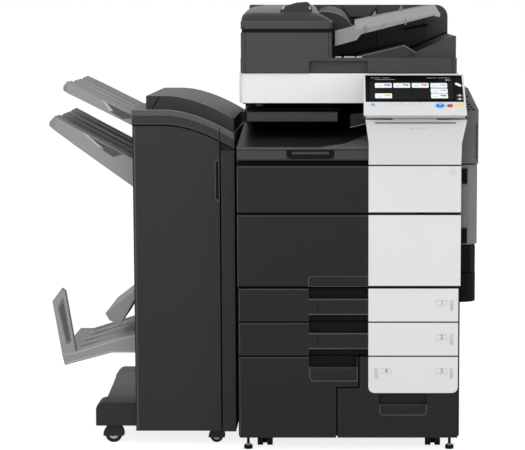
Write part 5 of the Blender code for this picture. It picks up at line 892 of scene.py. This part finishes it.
def make_lower_pulls():
    """The pulls of the front door and of the two drawers side by side."""
    foot = span("front_door", "Z")[0]
    seam("front_door_pull_seam", PULL_X, (foot + 0.001, foot + 0.002), "front_door")
    outer = rounded(oblong(PULL_X, (foot + 0.002, foot + 0.031)), [0.002, 0.002, 0.002, 0.01], 5)
    inner = rounded(
        oblong((-0.11, 0.052), (foot + 0.0034, foot + 0.0294)), [0.0015, 0.0015, 0.0015, 0.0085], 5
    )
    padded_pull("front_door", outer, inner, (-0.0008, 0.002), (-0.0003, 0.002), "front_door")
    right = span("drawer_4", "X")[1]
    high = span("drawer_4", "Z")[1]
    outer = oblong((-0.11, right - 0.001), (high - 0.069, high - 0.03))
    inner = oblong((-0.1072, right - 0.003), (high - 0.0662, high - 0.0312))
    outer = rounded(outer, [0.016, 0.002, 0.002, 0.002], 6)
    inner = rounded(inner, [0.014, 0.0015, 0.0015, 0.0015], 6)
    padded_pull("drawer_4", outer, inner, (-0.001, 0.003), (-0.0003, 0.003), "drawer_4")
    floor_z = (high - 0.029, high - 0.0008)
    block(
        "drawer_4_pull_floor", (-0.108, right - 0.0015), (0.0115, 0.0145), floor_z, "drawer_4", "black",
        0.0004,
    )
    outer = rounded(oblong((0.0845, 0.2165), (0.101, 0.1315)), [0.012, 0.012, 0.001, 0.001], 6)
    inner = rounded(oblong((0.0875, 0.2135), (0.1038, 0.1305)), [0.0095, 0.0095, 0.0008, 0.0008], 6)
    padded_pull("drawer_3", outer, inner, (-0.0012, 0.004), (0.0012, 0.004), "drawer_3")


def make_front_edges():
    """The light that catches each dark front's top and left edges, and the shade above it."""
    lower_fronts = [(name, PULL_X[0]) for name in ("drawer_1", "drawer_2", "drawer_4")]
    for name, right in (("toner_door", 0.053), ("front_door", 0.053), *lower_fronts):
        left = span(name, "X")[0]
        low, high = span(name, "Z")
        top = oblong((left + 0.001, right), (high - 0.003, high - 0.0012))
        side = oblong((left + 0.0014, left + 0.0028), (low + 0.003, high - 0.003))
        for part, corners in (("top", top), ("left", side)):
            edge = rounded(corners, [0.0005] * 4, 2)
            fit_plate(f"{name}_{part}_edge", edge, (-0.0003, 0.004), name, "edge_highlight")
        if name != "front_door":
            shade = oblong((left + 0.001, right), (high - 0.0012, high + 0.0006))
            fit_plate(f"{name}_top_shade", shade, (0.0006, 0.004), name)
    plate = soft_oblong((0.2766, 0.2959), (0.769, 0.788), 0.001, 2)
    fit_plate("toner_door_sticker", plate, (-0.0004, 0.001), "toner_door", "sticker")


# Right-hand side


def make_right_side():
    x = span("right_upper_cover", "X")
    z = span("right_upper_cover", "Z")
    y = span("right_upper_cover", "Y")
    for row in range(8):
        w = z[1] - 0.008 - row * 0.0072
        for column in range(4):
            u = HALF_WIDTH + 0.003 + column * 0.0125 + (row % 2) * 0.006
            if u + 0.009 > side_edge(w) - 0.002:
                continue
            slit = [(u, w), (u + 0.008, w + 0.0012), (u + 0.0085, w - 0.0022), (u + 0.0005, w - 0.0034)]
            fit_plate(f"vent_slit_{row + 1}_{column + 1}", slit, (y[0] - 0.001, y[0] + 0.002), "machine")
    # The rail is coloured as a painted highlight along the side's shoulder.
    block(
        "vent_rail", (HALF_WIDTH + 0.005, x[1] - 0.002), (y[0] - 0.001, y[0] + 0.004),
        (SIDE_SHOULDER + 0.0012, SIDE_SHOULDER + 0.003), "machine", "rim", 0.0006,
    )
    for i in range(18):
        low = 0.808 + i * 0.0056
        block(
            f"side_vent_tick_{i + 1}", (x[1] - 0.0075, x[1] - 0.0028), (y[0] - 0.0008, y[0] + 0.003),
            (low, low + 0.003), "machine", "black", 0.0003, 1,
        )
    for i in range(9):
        low = 0.806 + i * 0.0125
        block(
            f"side_vent_rib_{i + 1}", (x[1] - 0.001, x[1]), (y[0] + 0.03, y[1] - 0.03), (low, low + 0.006),
            "machine", "charcoal", 0.0004,
        )
    front = span("right_door", "Y")[0]
    for part, low in (("upper", 0.7365), ("lower", 0.569)):
        name = f"right_door_recess_{part}"
        outer = soft_oblong((HALF_WIDTH + 0.006, HALF_WIDTH + 0.024), (low, low + 0.046), 0.003, 3)
        inner = soft_oblong((HALF_WIDTH + 0.008, HALF_WIDTH + 0.022), (low + 0.003, low + 0.043), 0.002, 3)
        frame_ring(f"{name}_rim", outer, inner, (front - 0.0008, front + 0.002), "right_door", "charcoal")
        fit_plate(f"{name}_floor", inner, (front - 0.0003, front + 0.002), "right_door")


def side_edge(z):
    """The right-hand reach of the upper side cover at a height."""
    top = span("right_upper_cover", "Z")[1]
    reach = span("right_upper_cover", "X")[1]
    return reach if z < SIDE_SHOULDER else reach - (z - SIDE_SHOULDER) / (top - SIDE_SHOULDER) * 0.041


def make_side_duct():
    """The dark ribbed duct between the two doors of the right side."""
    z = (span("right_lower_door", "Z")[1] + 0.0012, span("right_door", "Z")[0] - 0.0012)
    reach = span("right_lower_door", "X")[1] - 0.003
    block("side_duct", (HALF_WIDTH + 0.001, reach), (0.104, 0.585), z, "machine", "black", 0.002)
    for i in range(5):
        x = HALF_WIDTH + 0.004 + i * 0.0062
        block(
            f"side_duct_rib_{i + 1}", (x, x + 0.002), (0.103, 0.106), (z[0] + 0.004, z[1] - 0.004),
            "machine", "dark", 0.0005,
        )
    block(
        "side_duct_post", (reach - 0.014, reach - 0.001), (0.1025, 0.106), (z[0] + 0.001, z[1] - 0.001),
        "machine", "dark", 0.0008,
    )


def make_rear():
    """Louvres, screw heads and a socket's rim for the back, and the vents of the left side."""
    back = span("rear_cover", "Y")[1]
    depth = (back - 0.003, back - 0.0002)
    for panel, x in enumerate((-0.24, 0.1)):
        for i in range(12):
            z = 0.64 + i * 0.013
            name = f"rear_louvre_{panel + 1}_{i + 1}"
            block(name, (x, x + 0.14), depth, (z, z + 0.004), "machine", "black", 0.0004)
    for i, x in enumerate((-0.29, 0, 0.29)):
        for j, z in enumerate((0.06, 0.5, 0.94)):
            screw(f"rear_screw_{i + 1}_{j + 1}", x, back - 0.0017, z)
    outer = soft_oblong((-0.268, -0.214), (0.1, 0.15), 0.004, 4)
    inner = soft_oblong((-0.264, -0.218), (0.104, 0.146), 0.003, 4)
    frame_ring("rear_socket_rim", outer, inner, (back - 0.003, back), "machine", "charcoal")
    side = (-HALF_WIDTH - 0.001, -HALF_WIDTH)
    for i in range(10):
        z = 0.56 + i * 0.014
        block(f"left_vent_{i + 1}", side, (0.42, 0.56), (z, z + 0.005), "machine")


SCREW_RADIUS = 0.0036


def screw(name, x, y, z):
    """A domed slotted screw, its head standing out along Y."""
    loops = []
    for share, out in ((1, 0), (1, 0.0008), (0.8, 0.0014), (0.4, 0.0016)):
        size = SCREW_RADIUS * share
        loops.append([(x + u, y + out, z + v) for u, v in oval((0, 0), (size, size), 16)])
    fit(loft(name, loops), "machine", "steel")
    half = SCREW_RADIUS * 0.55
    slot = soft_oblong((x - half, x + half), (z - 0.0004, z + 0.0004), 0.0002, 1)
    fit_plate(f"{name}_slot", slot, (y + 0.0012, y + 0.0018), "machine")


# Finisher


def shoulder(x):
    """Height of the finisher's falling shoulder line at a place."""
    left, right = span("finisher_top_cover", "X")
    share = max(0, (x - left - 0.095) / (right - left - 0.095))
    return 0.905 - 0.067 * share ** 1.7


def shoulder_strip(name, low, high, x, y, finish):
    """A strip along the finisher's shoulder line, between two heights from it."""
    places = [x[0] + (x[1] - x[0]) * i / 14 for i in range(15)]
    outline = [(u, shoulder(u) + low) for u in places] + [(u, shoulder(u) + high) for u in reversed(places)]
    fit_plate(name, outline, y, "finisher_cover", finish, 0.0004)


def make_finisher_details():
    x = span("finisher_top_cover", "X")
    front = span("finisher_door", "Y")[0]
    right_edge = span("finisher_door", "X")[1]
    low = span("finisher_top_cover", "Z")[0] - shoulder(x[1])
    ends = (x[0] + 0.0005, x[1] - 0.0005)
    # A chamfer strip of painted light, a painted highlight line above it and another at the band's foot, and
    # a black strip of painted shade in the seam below.
    for part, z0, z1, near, far, finish in (
        ("band_chamfer", 0.0255, 0.0415, -0.0004, 0.004, "band_painted_light"),
        ("band_edge", 0.0405, 0.0421, -0.0006, 0.004, "rim"),
        ("band_foot", low - 0.0016, low + 0.0002, -0.0002, 0.003, "edge_highlight"),
        ("seam_shade", -0.003, low - 0.0016, 0.001, 0.003, "black"),
    ):
        shoulder_strip(f"finisher_{part}", z0, z1, ends, (front + near, front + far), finish)
    seam_z = (shoulder(right_edge) + 0.001, shoulder(right_edge) + 0.0385)
    seam("finisher_band_seam", (right_edge + 0.0002, right_edge + 0.0022), seam_z, "finisher_cover", front)
    block_front = front + 0.04
    split = [(-0.5285, 0.9815), (-0.5245, 0.9815), (-0.54, 0.956)]
    split += [(-0.547, 0.9475), (-0.5495, 0.9475), (-0.5435, 0.956)]
    fit_plate("finisher_block_split", split, (block_front - 0.001, block_front + 0.002), "finisher_cover")
    door = span("finisher_door", "Z")
    left = span("finisher_door", "X")[0]
    # Two strips along the door's rounded left edge, painted as its highlight.
    for i, (start, width, finish) in enumerate(
        ((0.0046, 0.003, "edge_highlight"), (0.0076, 0.004, "finisher_cover"))
    ):
        edge = oblong((left + start, left + start + width), (door[0] + 0.004, 0.899))
        fit_plate(
            f"finisher_door_edge_{i + 1}", edge, (front - 0.0003, front + 0.002), "finisher_door", finish
        )
    outer = ((0.0125, 0.698), (0.0002, 0.69), (0.0002, 0.812), (0.0125, 0.804))
    inner = ((0.0105, 0.7005), (0.0022, 0.695), (0.0022, 0.807), (0.0105, 0.8015))
    outer, inner = ([(right_edge - inset, z) for inset, z in outline] for outline in (outer, inner))
    # The grip's rim is coloured as a painted highlight.
    frame_ring(
        "finisher_grip_rim", outer, inner, (front - 0.0006, front + 0.003), "finisher_door", "edge_highlight"
    )
    fit_plate("finisher_grip_floor", inner, (front - 0.0002, front + 0.003), "finisher_door")


STACK_TRAYS = {
    "finisher_tray_upper": {
        "body": "machine",
        "top": ((-0.6005, 0.9285), (-0.74, 0.9985), (-0.785, 1.02), (-0.799, 1.006)),
        "base": ((-0.6005, 0.8985), (-0.74, 0.969), (-0.785, 0.9905), (-0.799, 0.9975)),
        "recess": [
            (-0.6898, 0.9715), (-0.6653, 0.94), (-0.63, 0.918), (-0.6068, 0.92), (-0.6068, 0.93)
        ],
        "shelf": [(-0.6898, 0.9715), (-0.676, 0.965), (-0.656, 0.9405), (-0.6653, 0.94)],
    },
    "finisher_tray_lower": {
        "body": "lower_stack_tray",
        "top": ((-0.601, 0.806), (-0.7624, 0.892), (-0.82, 0.924), (-0.84, 0.906)),
        "base": ((-0.601, 0.7265), (-0.7624, 0.843), (-0.82, 0.885), (-0.84, 0.8985)),
        "recess": [
            (-0.7442, 0.8812), (-0.7, 0.84), (-0.6588, 0.8122), (-0.63, 0.82), (-0.7, 0.857)
        ],
        "shelf": [(-0.7442, 0.8812), (-0.728, 0.873), (-0.683, 0.833), (-0.7, 0.84)],
    },
}


def ridged(y, top, low):
    """A tray's cross-section: rails and ridges along its top, as (y, z)."""
    places = ((0, 0), (0.008, 0.003), (0.026, 0.003), (0.034, -0.005), (0.06, -0.005), (0.066, 0.002))
    places += (
        (0.084, 0.002), (0.092, -0.006), (0.15, -0.006), (0.158, 0.0), (0.2, 0.0), (0.208, -0.006)
    )
    half = [(y[0] + across, top + rise) for across, rise in places]
    other = [(y[1] - across, top + rise) for across, rise in places[::-1]]
    return half + other + [(y[1], low), (y[0], low)]


def make_stack_trays():
    """The two stacking trays, with ridged tops, chamfered tips, and on each flank a darker recess of painted
    shade beside a paler shelf of painted light.
    """
    for name, shape in STACK_TRAYS.items():
        y = span(name, "Y")
        loops = []
        insets = (0, 0, 0.006, 0.03)
        for (x, top), (_, low), inset in zip(shape["top"], shape["base"], insets):
            sides = (y[0] + inset, y[1] - inset)
            loops.append([(x, v, w) for v, w in ridged(sides, top, min(low, top - 0.009))])
        tray = fit(bevelled(loft(f"{name}_moulding", loops), 0.0012, 2, 30), shape["body"], "grey")
        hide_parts(name)
        # A darker plate of painted shade for the flank's recess, and a paler plate of painted light for the
        # shelf beside it.
        for part, finish, depth in (("recess", "tray_recess_shade", 0.0004), ("shelf", "tray_lit_edge", 0.0007)):
            fit_plate(
                f"{name}_{part}", shape[part], (y[0] - depth, y[0] + 0.002), shape["body"], finish, 0.0003
            )


def make_fold_tray_details():
    root = span("finisher_top_cover", "X")[0]
    y = span("fold_tray", "Y")
    tip = span("fold_tray", "X")[0]
    high = span("fold_tray", "Z")[1]
    window = ((0.015, 0.052), (0.038, 0.16), (0.052, 0.15), (0.031, 0.022))
    window = rounded([(tip + x, high - drop) for x, drop in window], [0.002] * 4, 3)
    fit_plate("fold_stopper_window", window, (y[0] - 0.0004, y[0] + 0.002), "machine", "tray_shade")
    inner = ((0.02, 0.058), (0.04, 0.15), (0.048, 0.146), (0.03, 0.036))
    inner = rounded([(tip + x, high - drop) for x, drop in inner], [0.002] * 4, 3)
    # The stopper's hollow is painted shade, and the tray's two lines below are painted light along its rims.
    fit_plate("fold_stopper_hollow", inner, (y[0] - 0.0007, y[0] + 0.002), "machine", "tray_recess_shade")
    rim = [(tip + 0.034, 0.2262), (root - 0.072, 0.26), (root - 0.001, 0.261)]
    rim += [(root - 0.001, 0.263), (root - 0.074, 0.2622), (tip + 0.033, 0.2284)]
    fit_plate("fold_tray_lower_line", rim, (y[0] - 0.0006, y[0] + 0.002), "machine", "tray_lit_edge")
    rim = [(tip + 0.029, 0.2505), (tip + 0.064, 0.256), (root - 0.052, 0.2935), (root - 0.001, 0.3055)]
    rim += [(root - 0.001, 0.308), (root - 0.053, 0.296), (tip + 0.064, 0.2585), (tip + 0.029, 0.253)]
    fit_plate("fold_tray_upper_line", rim, (y[0] - 0.0006, y[0] + 0.002), "machine", "tray_lit_edge")
    for i, (near, far) in enumerate(((0.06, 0.064), (0.15, 0.156), (0.25, 0.256), (0.34, 0.346))):
        rib = [(tip + 0.066, 0.264), (root - 0.052, 0.2985), (root - 0.052, 0.302), (tip + 0.07, 0.268)]
        fit_plate(f"fold_tray_rib_{i + 1}", rib, (y[0] + near, y[0] + far), "machine", "tray_pale", 0.0008)


def make_leg_cover():
    """The sloping sheet between the finisher's two legs."""
    root = span("finisher_top_cover", "X")[0] + 0.004
    tip = span("finisher_body", "X")[0]
    y = span("finisher_tray_lower", "Y")
    loops = []
    sections = (
        (0.05, 0.022, 0.12), (0.11, 0.02, 0.1192), (0.27, 0.014, 0.1195), (0.432, 0.008, 0.1205)
    )
    for back, inset, rise in sections:
        edge = tip + inset
        corners = [(root, 0.1188), (edge, 0.1183), (edge, rise - 0.001)]
        corners += [(edge + 0.014, rise), (root, rise + 0.0004)]
        loops.append([(u, y[0] + back, w) for u, w in corners])
    fit(bevelled(loft("leg_cover_sheet", loops), 0.0004), "machine", "dark")


# Casters and feet


def make_running_gear():
    for name in nodes:
        if name.startswith("caster_wheels_"):
            low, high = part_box(name)
            centre = ((low.y + high.y) / 2 - ORIGIN.y, (low.z + high.z) / 2)
            x = span(name, "X")
            for side, place, out in (("outer", x[0] + 0.0021, -1), ("inner", x[1] - 0.0021, 1)):
                hub = [oval(centre, (size, size), 24) for size in (0.0105, 0.0105, 0.007, 0.0035)]
                steps = (0, 0.0008, 0.0011, 0.0016)
                loops = []
                for ring, step in zip(hub, steps):
                    loops.append([(place + out * step - out * 0.0003, u, v) for u, v in ring])
                fit(loft(f"{name}_{side}_hub", loops), name, "charcoal")
        elif name.startswith("finisher_wheel_"):
            low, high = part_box(name)
            centre = ((low.x + high.x) / 2 - ORIGIN.x, (low.z + high.z) / 2)
            radius = (high.z - low.z) / 2
            y = span(name, "Y")[0] + 0.0035
            loops = []
            for share, out in ((0.58, 0.0002), (0.54, 0.001), (0.35, 0.0016), (0.1, 0.0019)):
                ring = oval(centre, (radius * share, radius * share), 24)
                loops.append([(u, y - out, v) for u, v in ring])
            # The hub's pale grey is a painted highlight on the glossy wheel.
            fit(loft(f"{name}_hub", loops), name, "bright")
    for side in ("left", "right"):
        name = f"levelling_foot_{side}"
        low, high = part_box(name)
        centre = ((low.x + high.x) / 2 - ORIGIN.x, (low.y + high.y) / 2 - ORIGIN.y)
        radius = (high.x - low.x) / 2
        knurl = []
        for i in range(36):
            turn = 2 * math.pi * i / 36
            size = radius * (1.0 if i % 2 else 0.93)
            knurl.append((centre[0] + size * math.cos(turn), centre[1] + size * math.sin(turn)))
        fit(push(f"{name}_knurl", knurl, "Z", 0.0008, 0.0098), f"foot_{side}", "black")
        hexagon = oval(centre, (0.0068, 0.0068), 6)
        fit(bevelled(push(f"{name}_nut", hexagon, "Z", 0.0102, 0.015), 0.0006), f"foot_{side}", "steel")


# Finishes of the carried-over nodes

SOFTENED = (
    ("panel_screen", 0.0004, "gloss"),
    ("platen_glass", 0.0004, "gloss"),
    ("start_key", 0.0006, "start_blue"),
    ("stop_key", 0.0005, "stop_red"),
    ("relay_unit", 0.003, "relay"),
    ("panel_", 0.0012, "light"),
    ("scanner_housing", 0.0014, "lid_white"),
    ("finisher_tray", 0.0014, "grey"),
    ("fold_tray", 0.0014, "grey"),
    ("adf_document", 0.0014, "grey"),
    ("adf_guide", 0.001, "grey"),
    ("finisher_wheel", 0.001, "rubber"),
    ("caster_wheels", 0.002, "rubber"),
    ("right_upper", 0.002, "side_upper"),
    ("right_lower", 0.002, "black"),
    ("right_cover", 0.001, "dark"),
    ("rear_cover", 0.001, "finisher"),
    ("left_cover", 0.001, "dark"),
    ("right_", 0.002, "side"),
    ("finisher_top", 0.002, "finisher_cover"),
    ("finisher_", 0.002, "finisher"),
    ("adf_feed_roller", 0.0008, "rubber"),
    ("adf_", 0.0018, "charcoal"),
    ("exit_tray", 0.0012, "dark"),
    ("front_door", 0.0012, "dark"),
    ("toner_door", 0.0012, "dark"),
    ("drawer", 0.0012, "dark"),
    ("", 0.0008, "black"),
)


def soften_all():
    for name in nodes:
        if name.endswith("_trim"):
            soften(name, 0.0012, "light")
            continue
        width, finish = next(rest for start, *rest in SOFTENED if name.startswith(start))
        soften(name, width, finish)


soften_all()
make_feeder_cover()
make_release_lever()
make_pick_up_hood()
make_document_tray_details()
make_feeder_base_details()
make_scanner_details()
make_screen()
make_panel_keys()
make_panel_support_details()
make_exit_bay()
make_exit_pull()
make_drawer_pulls()
make_lower_pulls()
make_front_edges()
make_labels()
make_right_side()
make_side_duct()
make_rear()
make_finisher_details()
make_stack_trays()
make_fold_tray_details()
make_leg_cover()
make_running_gear()


# Studio


def make_floor():
    bpy.ops.mesh.primitive_plane_add(size=60, location=(0, 0, 0))
    floor = bpy.context.object
    floor.name = "studio_floor"
    finish = Finish("studio_floor_finish", 0.9)
    finish.feed(Base_Color=(0.95, 0.95, 0.95, 1))
    floor.data.materials.append(finish.material)
    glow = finish.node("ShaderNodeEmission", {}, {"Color": (1, 1, 1, 1), "Strength": 1.38})
    camera_ray = finish.node("ShaderNodeLightPath", output="Is Camera Ray")
    surface = Value(finish, finish.shader.outputs[0])
    mixed = finish.node("ShaderNodeMixShader", {}, {0: camera_ray * 0.6, 1: surface, 2: glow})
    finish.set_input(finish.tree.nodes["Material Output"].inputs["Surface"], mixed)


def make_world(level):
    """A plain white surround, at full strength where the camera, gloss or glass sees it."""
    world = bpy.data.worlds.new("studio_light")
    bpy.context.scene.world = world
    world.use_nodes = True
    shading = Shading(world.node_tree)
    back = shading.tree.nodes["Background"]
    back.inputs["Color"].default_value = (1, 1, 1, 1)
    camera_ray = shading.node("ShaderNodeLightPath", output="Is Camera Ray")
    seen = camera_ray.math("MAXIMUM", camera_ray.beside("Is Transmission Ray"))
    seen = seen.math("MAXIMUM", camera_ray.beside("Is Glossy Ray"))
    shading.set_input(back.inputs["Strength"], seen * (1 - level) + level)


def area_lamp(name, place, target, size, power):
    lamp = bpy.data.lights.new(name, "AREA")
    lamp.shape = "RECTANGLE"
    lamp.size, lamp.size_y = size
    lamp.energy = power
    holder = bpy.data.objects.new(name, lamp)
    bpy.context.scene.collection.objects.link(holder)
    holder.location = place
    holder.rotation_euler = (Vector(target) - Vector(place)).to_track_quat("-Z", "Y").to_euler()


def make_camera():
    shape = bpy.data.cameras.new("viewpoint")
    shape.lens = 130.0
    shape.sensor_width = 36.0
    shape.shift_x = -0.159
    camera = bpy.data.objects.new("viewpoint", shape)
    bpy.context.scene.collection.objects.link(camera)
    camera.location = ORIGIN + Vector((-0.008, -5.172, 1.234))
    camera.rotation_euler = (math.radians(90 - 6.62), 0, 0)
    shape.clip_end = 100
    bpy.context.scene.camera = camera


make_floor()
make_world(0.45)
area_lamp("soft_top", (0.4, -1.6, 3.6), (0, 0, 0.6), (3.0, 2.4), 46)
area_lamp("soft_front", (-1.2, -4.0, 2.0), (0, 0, 0.6), (2.5, 2.5), 70)
area_lamp("soft_left", (-3.6, -1.6, 1.8), (-0.4, 0, 0.6), (1.6, 2.0), 26)
area_lamp("soft_right", (3.4, -2.2, 1.6), (0.3, 0, 0.7), (1.6, 2.0), 34)
make_camera()
bpy.context.scene.view_settings.view_transform = "Standard"
